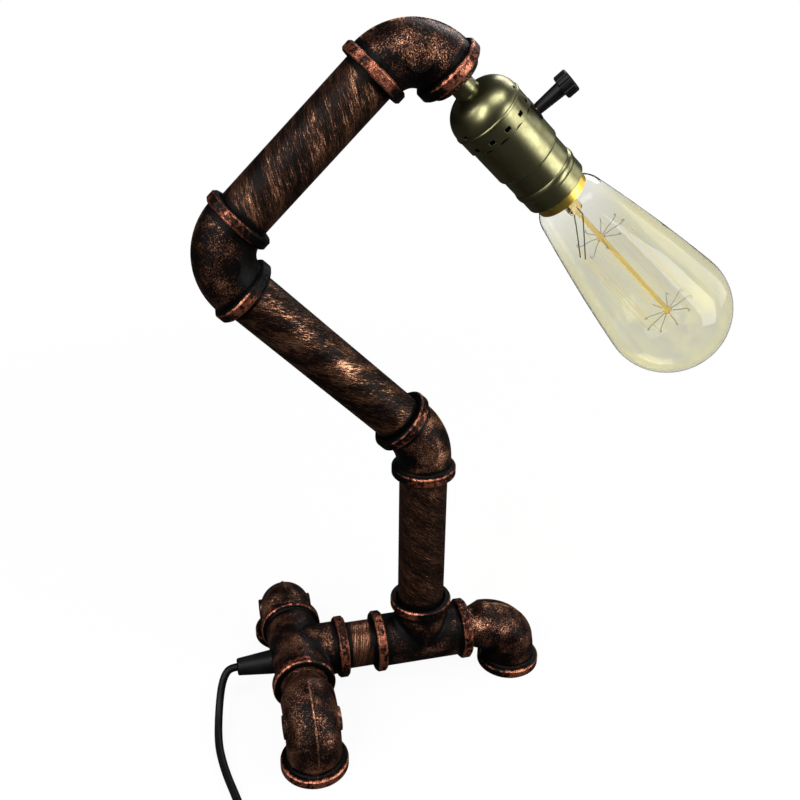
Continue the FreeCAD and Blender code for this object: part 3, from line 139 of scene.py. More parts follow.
class Finish:
    """One procedural material: a Principled shader and the nodes that feed it, measured in millimetres."""

    def __init__(self, name):
        self.material = bpy.data.materials.new(name)
        self.material.use_nodes = True
        self.tree = self.material.node_tree
        self.shader = self.tree.nodes["Principled BSDF"]
        place = self.tree.nodes.new("ShaderNodeTexCoord").outputs["Object"]
        self.point = self.scaled(place, 1 / MM)

    def feed(self, socket, value):
        if isinstance(value, bpy.types.NodeSocket):
            self.tree.links.new(value, socket)
        else:
            socket.default_value = value

    def node(self, kind, inputs, **settings):
        made = self.tree.nodes.new("ShaderNode" + kind)
        for name, value in settings.items():
            setattr(made, name, value)
        for name, value in inputs.items():
            self.feed(made.inputs[name], value)
        return made

    def maths(self, operation, *values):
        return self.node("Math", dict(enumerate(values)), operation=operation).outputs[0]

    def add(self, *values):
        total = values[0]
        for value in values[1:]:
            total = self.maths("ADD", total, value)
        return total

    def times(self, a, b):
        return self.maths("MULTIPLY", a, b)

    def vector(self, operation, a, b):
        made = self.node("VectorMath", {0: a, 1: b}, operation=operation)
        return made.outputs["Value" if operation == "DOT_PRODUCT" else "Vector"]

    def scaled(self, vector, factor):
        return self.node("VectorMath", {0: vector, "Scale": factor}, operation="SCALE").outputs["Vector"]

    def length(self, vector):
        return self.node("VectorMath", {0: vector}, operation="LENGTH").outputs["Value"]

    def height(self, vector):
        return self.node("SeparateXYZ", {"Vector": vector}).outputs["Z"]

    def seen_from(self, start, way):
        """The point as seen from the start, with Z along the way."""
        turn = way.to_track_quat("Z", "Y").to_euler()
        inputs = {"Vector": self.point, "Location": start, "Rotation": turn}
        return self.node("Mapping", inputs, vector_type="TEXTURE").outputs["Vector"]

    def noise(self, vector, scale=1.0, detail=2.0, roughness=0.5):
        inputs = {"Vector": vector, "Scale": scale, "Detail": detail, "Roughness": roughness}
        return self.node("TexNoise", inputs).outputs["Fac"]

    def step(self, value, low, high, start=0.0, end=1.0):
        """A smooth step of the value from low to high, which goes from start to end."""
        inputs = {"Value": value, "From Min": low, "From Max": high, "To Min": start, "To Max": end}
        return self.node("MapRange", inputs, interpolation_type="SMOOTHSTEP").outputs["Result"]

    def fade(self, value, low, high):
        """1 up to low, falling smoothly to 0 at high."""
        return self.step(value, low, high, 1.0, 0.0)

    def ridge(self, value, centre, half_width):
        """1 where the value is at the centre, falling to 0 half a width away."""
        away = self.maths("ABSOLUTE", self.maths("SUBTRACT", value, centre))
        return self.fade(away, 0.0, half_width)

    def about(self, value, amount):
        """How far a noise stands from its middle, times the amount."""
        return self.times(self.add(value, -0.5), amount)

    def blend(self, share, a, b):
        """Colour a, turning to colour b with the share."""
        made = self.node("Mix", {}, data_type="RGBA")
        for index, value in ((0, share), (6, a), (7, b)):
            self.feed(made.inputs[index], value)
        return made.outputs[2]

    def bump(self, height, distance, strength=1.0, normal=None):
        inputs = {"Height": height, "Distance": distance * MM, "Strength": strength}
        if normal:
            inputs["Normal"] = normal
        return self.node("Bump", inputs).outputs["Normal"]

    def rounded(self, radius):
        """Normals as if the edges were rounded to that radius."""
        return self.node("Bevel", {"Radius": radius * MM}, samples=4).outputs["Normal"]

    def set(self, **values):
        for name, value in values.items():
            self.feed(self.shader.inputs[name.replace("_", " ")], value)
        return self.material

    def mix_shader(self, share, other):
        """The finish, turning to the other shader with the share."""
        mixed = self.node("MixShader", {0: share, 1: self.shader.outputs[0], 2: other.outputs[0]})
        self.tree.links.new(mixed.outputs[0], self.tree.nodes["Material Output"].inputs["Surface"])
        return self.material


def rgb(red, green, blue):
    return (red, green, blue, 1.0)


# the black paint, which also colours the painted shade in crooks, mouths and under the cap's skirt
BLACK_PAINT_AND_SHADE = rgb(0.0016, 0.0013, 0.0012)
BROWN_PAINT = rgb(0.0100, 0.0040, 0.0022)
BRONZE = rgb(0.115, 0.048, 0.027)
PINK_BRONZE = rgb(0.15, 0.060, 0.038)
TAN = rgb(0.55, 0.280, 0.160)
ORANGE_COPPER = rgb(0.62, 0.260, 0.130)
RED_COPPER = rgb(0.29, 0.084, 0.048)
BRIGHT_COPPER = rgb(0.62, 0.245, 0.145)
# paint and copper mirror little; moulded plastic mirrors a little more
PAINT_SPECULAR = 0.08
PLASTIC_SPECULAR = 0.18

# how much copper a point of a pipe needs before its paint shows brown, copper and bright copper
PIPE_BROWN = (0.36, 0.54)
PIPE_COPPER = (0.49, 0.71)
PIPE_BRIGHT = (0.58, 0.80)
# a layer of strokes: its share of the slant, its noise across and along the pipe, and its own turn
STROKE_LAYERS = ((1.1, 2.00, 0.33, 0.0), (0.85, 2.70, 0.40, 40.0))
PATCH_SCALE = (0.10, 0.10, 0.045)
STEEP_SLANT = 2.0
# the painted shadow in a pipe's mouth, black, fades between these two distances from its end
MOUTH_SHADOW = 0.8
MOUTH_CLEAR = 2.8


def wound(f, local, height, slant, own_turn):
    """The pipe's point turned further the higher it is, so that what runs along the pipe winds round it."""
    angle = f.add(f.times(height, slant / PIPE_RADIUS), own_turn)
    inputs = {"Vector": local, "Angle": angle}
    return f.node("VectorRotate", inputs, rotation_type="Z_AXIS").outputs["Vector"]


def pipe_finish(name, start, way, length, slant, wear_and_painted_light, patchy, light):
    """Black pipe with copper brushed on in short strokes that wind round it, and painted shadow in its two
    mouths.

    Slant is how steeply the strokes wind, wear_and_painted_light adds copper, as the pipe's wear and as
    light and shade painted for the pipe, patchy parts it from plain black, and light is the colour of its
    brightest strokes.
    """
    f = Finish(name)
    local = f.seen_from(start, way)
    height = f.height(local)
    layers = []
    # strokes that wind steeply are thinned by it, so they start wider
    thinned = min(1.0, STEEP_SLANT / math.hypot(1.0, slant))
    for share, width, reach, own_turn in STROKE_LAYERS:
        turned = wound(f, local, height, share * slant, own_turn)
        across = width * thinned
        stretched = f.vector("MULTIPLY", turned, (across, across, reach))
        layers.append(f.noise(stretched, detail=1.5, roughness=0.6))
    strokes = f.maths("MAXIMUM", *layers)
    # the patches wind as the last layer does
    broad = f.noise(f.vector("MULTIPLY", turned, PATCH_SCALE), detail=3.0, roughness=0.6)
    grit = f.noise(local, scale=1.6, roughness=0.7)
    # painted shadow in the pipe's mouths: less copper, so black, near both ends
    near_end = f.fade(height, MOUTH_SHADOW, MOUTH_CLEAR)
    far_end = f.step(height, length - MOUTH_CLEAR, length - MOUTH_SHADOW)
    ends = f.maths("MAXIMUM", near_end, far_end)
    cover = f.add(strokes, f.about(broad, patchy), f.about(grit, 0.30), wear_and_painted_light, f.times(ends, -0.3))
    rubbed = f.step(cover, *PIPE_COPPER)
    tint = f.blend(f.step(cover, *PIPE_BRIGHT), BRONZE, light)
    dark = f.blend(f.step(cover, *PIPE_BROWN), BLACK_PAINT_AND_SHADE, BROWN_PAINT)
    rough = f.add(0.42, f.times(rubbed, -0.16), f.about(grit, 0.2))
    normal = f.bump(f.add(strokes, f.times(grit, 0.5)), distance=0.22, strength=0.8)
    return f.set(
        Base_Color=f.blend(rubbed, dark, tint),
        Metallic=f.times(rubbed, 0.9),
        Roughness=rough,
        Specular_IOR_Level=PAINT_SPECULAR,
        Normal=normal,
    )


# how much copper a point of a casting needs before its paint shows brown, copper and bright copper
CAST_BROWN = (0.34, 0.54)
CAST_COPPER = (0.48, 0.74)
CAST_BRIGHT = (0.60, 0.88)
BAND_BRIGHT = (0.60, 0.90)
# a bend is black round a point inside it, this far from its corner, and fades between the two distances; the
# black is painted shade, where the brushed copper also misses the hollow
BEND_INSIDE = 26.0
BEND_FADE = (12.0, 26.0)
# a tee is black along the valley between its branch and its run, which starts between the two distances;
# this black is painted shade too, where the brushed copper also misses the valley
VALLEY_HALF_WIDTH = 7.0
VALLEY_START = (2.0, 12.0)
# how much of the copper the painted shade in a crook takes away
CROOK_SHADE = 0.8
SEAM_HALF_WIDTH = 0.9
SEAM_START = (-4.0, 4.0)
# a band's copper fades past its back and its front, and sets in above the body
BAND_BACK = (-1.6, -0.6)
BAND_FRONT = (0.4, 1.4)
BAND_FOOT = (0.3, 1.1)
# its two lips are brightest this far inside its faces, and only near its outside
LIP_INSET = 0.6
LIP_HALF_WIDTH = 0.8
LIP_DEPTH = (-0.9, -0.3)
# painted shade gathers black behind a band, where the brushed copper also misses the recess, and on its face
# round the hole
ROOT_BEHIND = 0.9
ROOT_HALF_WIDTH = 2.6
ROOT_FOOT = 0.6
THROAT_STATION = (-2.4, -0.5)
THROAT_DEPTH = (-0.6, -1.2)


def from_to(pair, base):
    """The pair's two distances, counted from the base."""
    return base + pair[0], base + pair[1]


def crook_shade(f, corner, first, second, bent):
    """The painted shade, black, inside a bend, or along the valley between a tee's branch and its run."""
    from_corner = f.vector("SUBTRACT", f.point, corner)
    if bent:
        inside = (first + second).normalized() * BEND_INSIDE
        return f.fade(f.length(f.vector("SUBTRACT", from_corner, inside)), *BEND_FADE)
    u = f.vector("DOT_PRODUCT", from_corner, first)
    v = f.vector("DOT_PRODUCT", from_corner, second)
    valley = f.ridge(f.maths("SUBTRACT", u, v), 0.0, VALLEY_HALF_WIDTH)
    return f.times(valley, f.step(f.add(u, v), *VALLEY_START))


def seam_line(f, corner, across, outside):
    """The seam along the outside of a bend."""
    from_corner = f.vector("SUBTRACT", f.point, corner)
    line = f.ridge(f.vector("DOT_PRODUCT", from_corner, across), 0.0, SEAM_HALF_WIDTH)
    return f.times(line, f.step(f.vector("DOT_PRODUCT", from_corner, outside), *SEAM_START))


def mouth_parts(f, centre, way, band_radius):
    """A mouth's raised band, the band's two lips, and the painted shade behind it and on its face."""
    from_centre = f.vector("SUBTRACT", f.point, centre)
    station = f.vector("DOT_PRODUCT", from_centre, way)
    radius = f.length(f.vector("SUBTRACT", from_centre, f.scaled(way, station)))
    back = f.step(station, *from_to(BAND_BACK, -BAND_WIDTH))
    front = f.fade(station, *BAND_FRONT)
    proud = f.times(f.times(back, front), f.step(radius, *from_to(BAND_FOOT, BODY_RADIUS)))
    front_lip = f.ridge(station, -LIP_INSET, LIP_HALF_WIDTH)
    back_lip = f.ridge(station, LIP_INSET - BAND_WIDTH, LIP_HALF_WIDTH)
    outer = f.step(radius, *from_to(LIP_DEPTH, band_radius))
    lips = f.times(f.times(proud, f.maths("MAXIMUM", front_lip, back_lip)), outer)
    # painted shade: black behind the band and on its face round the hole
    behind = f.ridge(station, -BAND_WIDTH - ROOT_BEHIND, ROOT_HALF_WIDTH)
    root_shade = f.times(behind, f.step(radius, band_radius, BODY_RADIUS + ROOT_FOOT))
    within = f.step(radius, *from_to(THROAT_DEPTH, band_radius))
    throat_shade = f.times(f.step(station, *THROAT_STATION), within)
    return proud, lips, f.maths("MAXIMUM", root_shade, throat_shade)


def cast_finish(name, mouths, crooks=(), seam=None, wear_and_painted_light=0.0):
    """Black casting, copper rubbed over its high grains.

    A mouth is its centre, its way out and its band's radius. A crook is a corner, the two ways that meet
    there, and whether it is a bend; painted shade darkens it. A seam is a corner, the line across it and the
    way to its outside. wear_and_painted_light adds copper to the whole casting: its wear, and light and
    shade painted for the part.
    """
    f = Finish(name)
    # hollow gathers the painted shade in crooks, behind bands and on their faces
    band, edge, hollow, ridge = 0.0, 0.0, 0.0, 0.0
    for crook in crooks:
        hollow = f.maths("MAXIMUM", hollow, f.times(crook_shade(f, *crook), CROOK_SHADE))
    if seam:
        ridge = seam_line(f, *seam)
    for mouth in mouths:
        # black is the painted shade behind the band and on its face
        proud, lips, black = mouth_parts(f, *mouth)
        band = f.maths("MAXIMUM", band, proud)
        edge = f.maths("MAXIMUM", edge, lips)
        hollow = f.maths("MAXIMUM", hollow, black)
    grain = f.noise(f.point, scale=1.40, roughness=0.65)
    fine = f.noise(f.point, scale=3.0, roughness=0.6)
    patch = f.noise(f.point, scale=0.09, roughness=0.55)
    mottle = f.noise(f.point, scale=0.50, roughness=0.6)
    body_cover = f.add(
        0.50 + wear_and_painted_light,
        f.about(grain, 1.2),
        f.about(fine, 0.5),
        f.about(patch, 1.1),
        f.times(hollow, -0.40),
        f.times(ridge, 0.22),
    )
    band_cover = f.add(
        0.55 + wear_and_painted_light,
        f.about(mottle, 0.9),
        f.about(fine, 0.5),
        f.about(patch, 0.9),
        f.times(edge, 0.20),
        f.times(hollow, -0.5),
    )
    share = f.step(band, 0.2, 0.8)
    cover = f.add(f.times(body_cover, f.maths("SUBTRACT", 1.0, share)), f.times(band_cover, share))
    rubbed = f.step(cover, *CAST_COPPER)
    tint = f.blend(f.step(cover, *CAST_BRIGHT), PINK_BRONZE, TAN)
    red = f.blend(f.step(cover, *BAND_BRIGHT), RED_COPPER, BRIGHT_COPPER)
    dark = f.blend(f.step(cover, *CAST_BROWN), BLACK_PAINT_AND_SHADE, BROWN_PAINT)
    colour = f.blend(rubbed, dark, f.blend(share, tint, red))
    rough = f.add(0.36, f.times(rubbed, -0.11), f.about(fine, 0.3))
    relief = f.add(f.times(grain, 0.8), f.times(mottle, 0.5), f.times(fine, 0.4))
    normal = f.bump(relief, distance=0.28, strength=0.9, normal=f.rounded(0.6))
    return f.set(
        Base_Color=colour,
        Metallic=f.times(rubbed, 0.88),
        Roughness=rough,
        Specular_IOR_Level=PAINT_SPECULAR,
        Normal=normal,
    )


# the painted shade on a brass turns to its own colour within this distance of its station, each way
SHADE_BLUR = 0.1


def brass_finish(name, light, dark, rough, patina=0.5, shaded_up_to=None):
    """Uncoated metal with a faint uneven patina, and painted shade, black, up to the given station of the
    head.
    """
    f = Finish(name)
    cloud = f.noise(f.point, scale=0.16, detail=3.0, roughness=0.6)
    speck = f.noise(f.point, scale=1.8, roughness=0.6)
    tarnish = f.times(f.step(f.add(cloud, f.times(speck, 0.25)), 0.45, 0.85), patina)
    colour = f.blend(tarnish, light, dark)
    roughness = f.add(rough, f.times(tarnish, 0.14), f.times(speck, 0.05))
    relief = f.add(cloud, f.times(speck, 0.3))
    normal = f.bump(relief, distance=0.015, strength=0.5, normal=f.rounded(0.25))
    if shaded_up_to:
        station = f.vector("DOT_PRODUCT", f.vector("SUBTRACT", f.point, head_elbow_centre), HEAD_WAY)
        unshaded = f.step(station, shaded_up_to - SHADE_BLUR, shaded_up_to + SHADE_BLUR)
        colour = f.blend(unshaded, BLACK_PAINT_AND_SHADE, colour)
    return f.set(Base_Color=colour, Metallic=1.0, Roughness=roughness, Normal=normal)


def plastic_finish(name, light, dark, rough, grain_scale=1.6, height=0.03):
    """Moulded plastic, rubber or card with a fine even grain."""
    f = Finish(name)
    grain = f.noise(f.point, scale=grain_scale, detail=3.0, roughness=0.6)
    cloud = f.noise(f.point, scale=0.15)
    colour = f.blend(f.step(cloud, 0.35, 0.7), light, dark)
    roughness = f.add(rough, f.times(grain, 0.12))
    normal = f.bump(grain, distance=height, strength=0.7, normal=f.rounded(0.3))
    return f.set(Base_Color=colour, Roughness=roughness, Specular_IOR_Level=PLASTIC_SPECULAR, Normal=normal)


# the bulb's neck is clear up to the first station of the head and tinted from the second
NECK_CLEAR = 108.0
NECK_TINTED = 135.0
CLEAR = rgb(0.93, 0.93, 0.915)
SHINES_THROUGH = rgb(0.97, 0.95, 0.86)
STREAK_SCALE = (0.060, 0.060, 0.008)
# how far the glass turns away where its edge colour and its rim colour set in and are full
EDGE_SHOWS = (0.40, 0.75)
RIM_SHOWS = (0.80, 1.0)


def glass_finish(name, face, streak_and_sheen, edge, rim, neck):
    """Glass streaked along the head, the bulb's cream streaks being painted reflection, and tinted towards
    its outline; lamps shine through it.

    Neck is how clear its neck is.
    """
    f = Finish(name)
    local = f.seen_from(head_elbow_centre, HEAD_WAY)
    streak_sheen_mask = f.noise(f.vector("MULTIPLY", local, STREAK_SCALE))
    grazing = f.node("LayerWeight", {"Blend": 0.5}).outputs["Facing"]
    # the streaks are partly painted reflection: cream bands along the bulb
    tint = f.blend(f.step(streak_sheen_mask, 0.40, 0.66), face, streak_and_sheen)
    tint = f.blend(f.step(grazing, *EDGE_SHOWS), tint, edge)
    tint = f.blend(f.step(f.height(local), NECK_CLEAR, NECK_TINTED, start=neck, end=0.0), tint, CLEAR)
    tint = f.blend(f.step(grazing, *RIM_SHOWS), tint, rim)
    f.set(
        Base_Color=tint,
        Roughness=0.0,
        IOR=1.22,
        Transmission_Weight=1.0,
        Normal=f.bump(f.noise(f.point, scale=0.05), distance=0.25, strength=0.5),
    )
    shadow = f.node("LightPath", {}).outputs["Is Shadow Ray"]
    return f.mix_shader(shadow, f.node("BsdfTransparent", {"Color": SHINES_THROUGH}))


def wire_finish(name, light, dark, metallic, rough, glow=rgb(0, 0, 0)):
    """Thin wire; a painted glow, light of its own, keeps the filament as pale as it looks inside the glass.
    """
    f = Finish(name)
    colour = f.blend(f.noise(f.point, scale=1.2, roughness=0.6), light, dark)
    return f.set(
        Base_Color=colour,
        Metallic=metallic,
        Roughness=rough,
        Emission_Color=glow,
        Emission_Strength=1.0,
    )


OLIVE_BRASS = rgb(0.25, 0.24, 0.125)
DARK_OLIVE = rgb(0.105, 0.096, 0.042)
OLIVE_ROUGH = 0.27
# the cap's skirt ends at this station; the shell inside it is painted black up to just past it: painted
# shade under the skirt, with a painted shadow line below its edge
SKIRT_END = 58.5
PAST_SKIRT = 0.2
# each has its material's name, its light and its dark colour, a wire's share of metal, and its roughness
finishes = {
    "antique_brass": brass_finish("antique_brass", OLIVE_BRASS, DARK_OLIVE, OLIVE_ROUGH),
    # the shell is painted black under the cap's skirt as shade
    "socket_shell": brass_finish(
        "shell_brass", OLIVE_BRASS, DARK_OLIVE, OLIVE_ROUGH, shaded_up_to=SKIRT_END + PAST_SKIRT
    ),
    "inner_brass": brass_finish("inner_brass", rgb(0.72, 0.53, 0.23), rgb(0.50, 0.36, 0.15), 0.28),
    "cap_brass": brass_finish("cap_brass", rgb(0.86, 0.62, 0.11), rgb(0.62, 0.40, 0.06), 0.30, patina=0.6),
    "black_steel": plastic_finish("black_steel", rgb(0.012, 0.011, 0.011), rgb(0.02, 0.018, 0.016), 0.35),
    "black_plastic": plastic_finish(
        "black_plastic", rgb(0.003, 0.003, 0.003), rgb(0.006, 0.006, 0.006), 0.36
    ),
    "switch_moulding": plastic_finish(
        "switch_moulding", rgb(0.05, 0.032, 0.022), rgb(0.08, 0.05, 0.03), 0.4
    ),
    "card": plastic_finish(
        "card", rgb(0.36, 0.25, 0.14), rgb(0.28, 0.19, 0.10), 0.75, grain_scale=0.8, height=0.1
    ),
    "cord_jacket": plastic_finish(
        "cord_jacket", rgb(0.003, 0.003, 0.003), rgb(0.005, 0.005, 0.005), 0.42, grain_scale=0.9
    ),
    # the bulb's cream streaks are painted reflection bands
    "clear_glass": glass_finish(
        "clear_glass",
        face=rgb(0.76, 0.755, 0.675),
        streak_and_sheen=rgb(0.88, 0.855, 0.66),
        edge=rgb(0.85, 0.82, 0.60),
        rim=rgb(0.44, 0.43, 0.32),
        neck=0.85,
    ),
    "stem_glass": glass_finish(
        "stem_glass",
        face=rgb(0.90, 0.70, 0.30),
        streak_and_sheen=rgb(0.88, 0.67, 0.26),
        edge=rgb(0.70, 0.45, 0.11),
        rim=rgb(0.46, 0.27, 0.05),
        neck=0.0,
    ),
    "black_glass": plastic_finish("black_glass", rgb(0.006, 0.006, 0.008), rgb(0.012, 0.012, 0.016), 0.12),
    "support_wires": wire_finish("fine_wire", rgb(0.05, 0.045, 0.04), rgb(0.12, 0.10, 0.08), 0.8, 0.4),
    "lead_wires": wire_finish("lead_wire", rgb(0.020, 0.016, 0.014), rgb(0.05, 0.035, 0.025), 0.6, 0.45),
    # the filament's glow is painted light: the bulb is not lit
    "filament": wire_finish(
        "filament", rgb(0.26, 0.20, 0.08), rgb(0.22, 0.16, 0.05), 0.0, 0.6, glow=rgb(0.42, 0.35, 0.18)
    ),
    "blade_metal": brass_finish("blade_metal", rgb(0.70, 0.62, 0.44), rgb(0.55, 0.47, 0.30), 0.22),
}


def mouths_of(centre, reach, *ways, band_radius=BAND_RADIUS):
    """A fitting's mouths, one on each way out from its centre."""
    return [(centre + way * reach, way, band_radius) for way in ways]


def tee_crooks(centre, branch, run):
    """The two valleys beside a tee's branch."""
    return [(centre, branch, run, False), (centre, branch, -run, False)]


# a part's shift of copper stands for its wear and for light and shade painted on it: lower on the parts that
# stand in less light
castings = {
    "post_tee": {
        "mouths": mouths_of(post_tee_centre, TEE_REACH, FORWARD, -FORWARD, UP),
        "crooks": tee_crooks(post_tee_centre, UP, FORWARD),
        "wear_and_painted_light": -0.06,
    },
    "rear_tee": {
        "mouths": mouths_of(rear_tee_centre, TEE_REACH, ACROSS, -ACROSS, FORWARD),
        "crooks": tee_crooks(rear_tee_centre, FORWARD, ACROSS),
        "wear_and_painted_light": -0.08,
    },
    "elbow_bush": {"mouths": []},
}
for elbow, centre, reach, first, second, wear_and_painted_light in (
    ("lower_elbow", half_elbow_centre, HALF_ELBOW_REACH, -UP, LOWER_ARM_WAY, 0.0),
    ("middle_elbow", middle_elbow_centre, ELBOW_REACH, -LOWER_ARM_WAY, UPPER_ARM_WAY, -0.05),
    ("head_elbow", head_elbow_centre, ELBOW_REACH, -UPPER_ARM_WAY, HEAD_WAY, 0.03),
):
    castings[elbow] = {
        "mouths": mouths_of(centre, reach, first, second),
        "crooks": [(centre, first, second, True)],
        "seam": (centre, ACROSS, -(first + second).normalized()),
        "wear_and_painted_light": wear_and_painted_light,
    }
for foot, tee, way in (
    ("front_foot_elbow", post_tee_centre, FORWARD),
    ("left_foot_elbow", rear_tee_centre, ACROSS),
    ("right_foot_elbow", rear_tee_centre, -ACROSS),
):
    corner = tee + way * (TEE_REACH + FOOT_REACH)
    castings[foot] = {
        "mouths": mouths_of(corner, FLOOR_TO_TEE, -UP, band_radius=FOOT_BAND_RADIUS),
        "crooks": [(corner, -way, -UP, True)],
        "seam": (corner, UP.cross(way), (way + UP).normalized()),
        "wear_and_painted_light": 0.03,
    }
for name, features in castings.items():
    finishes[name] = cast_finish(f"casting_{name}", **features)

# where each pipe starts, its way and its seen length
pipes = {
    "base_nipple": (rear_tee_centre + FORWARD * TEE_REACH, FORWARD, NIPPLE_LENGTH),
    "post_pipe": (post_tee_centre + UP * TEE_REACH, UP, POST_LENGTH),
    "lower_arm_pipe": (
        half_elbow_centre + LOWER_ARM_WAY * HALF_ELBOW_REACH, LOWER_ARM_WAY, LOWER_ARM_LENGTH
    ),
    "upper_arm_pipe": (middle_elbow_centre + UPPER_ARM_WAY * ELBOW_REACH, UPPER_ARM_WAY, UPPER_ARM_LENGTH),
}
# a pipe's shift of copper stands for its wear and for light and shade painted on it: lower on the pipes that
# stand in less light
brushwork = {
    "base_nipple": {"slant": 5.0, "wear_and_painted_light": 0.0, "patchy": 0.5, "light": ORANGE_COPPER},
    "post_pipe": {"slant": 1.5, "wear_and_painted_light": -0.06, "patchy": 0.35, "light": TAN},
    "lower_arm_pipe": {"slant": 0.6, "wear_and_painted_light": -0.05, "patchy": 0.95, "light": TAN},
    "upper_arm_pipe": {"slant": 1.7, "wear_and_painted_light": -0.06, "patchy": 0.6, "light": TAN},
}
for name, place in pipes.items():
    finishes[name] = pipe_finish(f"pipe_{name}", *place, **brushwork[name])

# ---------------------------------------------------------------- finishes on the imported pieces

slots = {row["node"]: row["material_slot"] for row in frame["record"]["subparts"]}


def finish_of(name):
    """The finish under the node's own name, where there is one, and otherwise its slot's."""
    return finishes.get(name) or finishes[slots[name]]


for name, piece in nodes.items():
    piece.data.materials.clear()
    piece.data.materials.append(finish_of(name))

# ---------------------------------------------------------------- cord

ROUTE_FLOOR = CORD_DIAMETER / 2


def from_post(x, y, z):
    """A point by how far it lies forwards and across from the post, and its height above the floor."""
    return Vector((POST_X + x, y, z))


RELIEF_DROP = 3.2
RELIEF_LENGTH = 18.5
relief_tip = rear_tee_centre - UP * RELIEF_DROP - FORWARD * (BODY_RADIUS + RELIEF_LENGTH)
lead_route = [
    relief_tip,
    from_post(-105.9, 0, relief_tip.z),
    from_post(-109.0, -1.5, 22.7),
    from_post(-111.3, -4.1, 18.2),
    from_post(-112.9, -7.6, 12.8),
    from_post(-114.2, -12.4, 8.0),
    from_post(-115.3, -18.8, 4.7),
    from_post(-116.1, -26.7, 2.8),
    from_post(-116.2, -36.0, ROUTE_FLOOR),
    from_post(-114.5, -51.0, ROUTE_FLOOR),
    from_post(-110.7, -69.0, ROUTE_FLOOR),
    from_post(-106.9, -89.0, ROUTE_FLOOR),
    from_post(-104.2, -109.0, ROUTE_FLOOR),
]
tail_route = [
    from_post(-57.1, -159.8, 4.4),
    from_post(-42.1, -158.4, 2.4),
    from_post(-28.1, -153.4, 6.0),
    from_post(-16.1, -149.0, 6.0),
]
COIL_CENTRE = from_post(-72.0, -128.0, 0)
RINGS = 4
# the outer and the inner ring's radius, and how far the cord dips inwards where it climbs to the upper layer
COIL_OUTSIDE = 31.3
COIL_INSIDE = COIL_OUTSIDE - (RINGS - 1) * CORD_DIAMETER
COIL_DIP = 1.7
STEP_SHARE = 0.25
POINTS_A_TURN = 24
COIL_START_ANGLE = 180.0
COIL_TURNS = 7.25


def eased(share):
    """A smooth step of the share, held between 0 and 1."""
    share = min(max(share, 0.0), 1.0)
    return share * share * (3 - 2 * share)


def coil_route():
    """Rings side by side, inwards below and outwards above; each steps over in its last quarter turn."""
    points = []
    for index in range(int(COIL_TURNS * POINTS_A_TURN) + 1):
        turns = index / POINTS_A_TURN
        ring = min(int(turns), 2 * RINGS - 1)
        share = eased((turns - ring - (1 - STEP_SHARE)) / STEP_SHARE)
        radius = COIL_INSIDE
        height = ROUTE_FLOOR
        if ring < RINGS - 1:
            radius = COIL_OUTSIDE - (ring + share) * CORD_DIAMETER
        elif ring == RINGS - 1:
            radius -= COIL_DIP * math.sin(math.pi * share)
            height += share * CORD_DIAMETER
        else:
            radius += (ring - RINGS + share) * CORD_DIAMETER
            height += CORD_DIAMETER
        angle = math.radians(COIL_START_ANGLE + 360 * turns)
        place = Vector((radius * math.cos(angle), radius * math.sin(angle), height))
        points.append(COIL_CENTRE + place)
    return points


# how finely a curve is cut along its length, and how round a cord and a wire are
SMOOTHNESS = 6
CORD_ROUNDNESS = 6
WIRE_ROUNDNESS = 1


def smooth_curves(name, routes, radius, roundness):
    """Round tubes along smooth lines, each with a route's points as its control points."""
    data = bpy.data.curves.new(name, "CURVE")
    data.dimensions = "3D"
    for route in routes:
        spline = data.splines.new("NURBS")
        spline.points.add(len(route) - 1)
        for point, place in zip(spline.points, route):
            point.co = (*(place * MM), 1)
        spline.order_u = 3
        spline.use_endpoint_u = True
    data.resolution_u = SMOOTHNESS
    data.bevel_depth = radius * MM
    data.bevel_resolution = roundness
    data.use_fill_caps = True
    piece = bpy.data.objects.new(name, data)
    bpy.context.scene.collection.objects.link(piece)
    return piece


cord_route = lead_route + coil_route() + tail_route
flex = smooth_curves("flex", [cord_route], CORD_DIAMETER / 2, CORD_ROUNDNESS)
flex.data.materials.append(finishes["cord_jacket"])
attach(flex, "base")
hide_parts("cord_lead", "cord_coil", "cord_tail")

# ---------------------------------------------------------------- hooked wires in the bulb

UPPER_STAR = 135.5
LOWER_STAR = 193.5
BUTTON_RADIUS = 2.2
STAR_RADIUS = 13.6
STAR_COUNT = 9
SUPPORT_WIRE = 0.3

# a wire's points: distance from the axis, degrees beside the wire's angle, and how far it stands outwards
HOOKED_WIRE = (
    (BUTTON_RADIUS, 0.0, 0.0),
    (0.45 * STAR_RADIUS, 1.5, 0.3),
    (0.80 * STAR_RADIUS, -1.0, -0.3),
    (STAR_RADIUS, 0.0, 0.0),
    (STAR_RADIUS + 0.3, 0.0, 0.8),
    (STAR_RADIUS - 0.4, 3.0, 1.5),
    (STAR_RADIUS - 1.0, 1.5, 0.9),
)
hooked_wires = []
# the upper star leaves out its first wire, because the lead wires hold the filament there
for station, outward, first in ((UPPER_STAR, -1, 1), (LOWER_STAR, 1, 0)):
    for index in range(first, STAR_COUNT):
        angle = 360 / STAR_COUNT * index
        wire = [head_point(r, angle + turn, station + outward * out) for r, turn, out in HOOKED_WIRE]
        hooked_wires.append(wire)
hooks = smooth_curves("hooked_wires", hooked_wires, SUPPORT_WIRE / 2, WIRE_ROUNDNESS)
hooks.data.materials.append(finishes["support_wires"])
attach(hooks, "bulb")
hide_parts("support_wires")

# ---------------------------------------------------------------- floor, light and world

# in metres: the floor's half side, and how far from the middle its shadow is full and is gone
FLOOR_HALF = 20.0
SHADOW_REACH = 0.30
SHADOW_FADE = 0.75
# how much of the floor's white is its own light where its shadow is full
FLOOR_GLOW = 0.93
WHITE = rgb(1, 1, 1)
PAPER = rgb(0.92, 0.92, 0.92)
DARKER_PAPER = rgb(0.90, 0.90, 0.90)
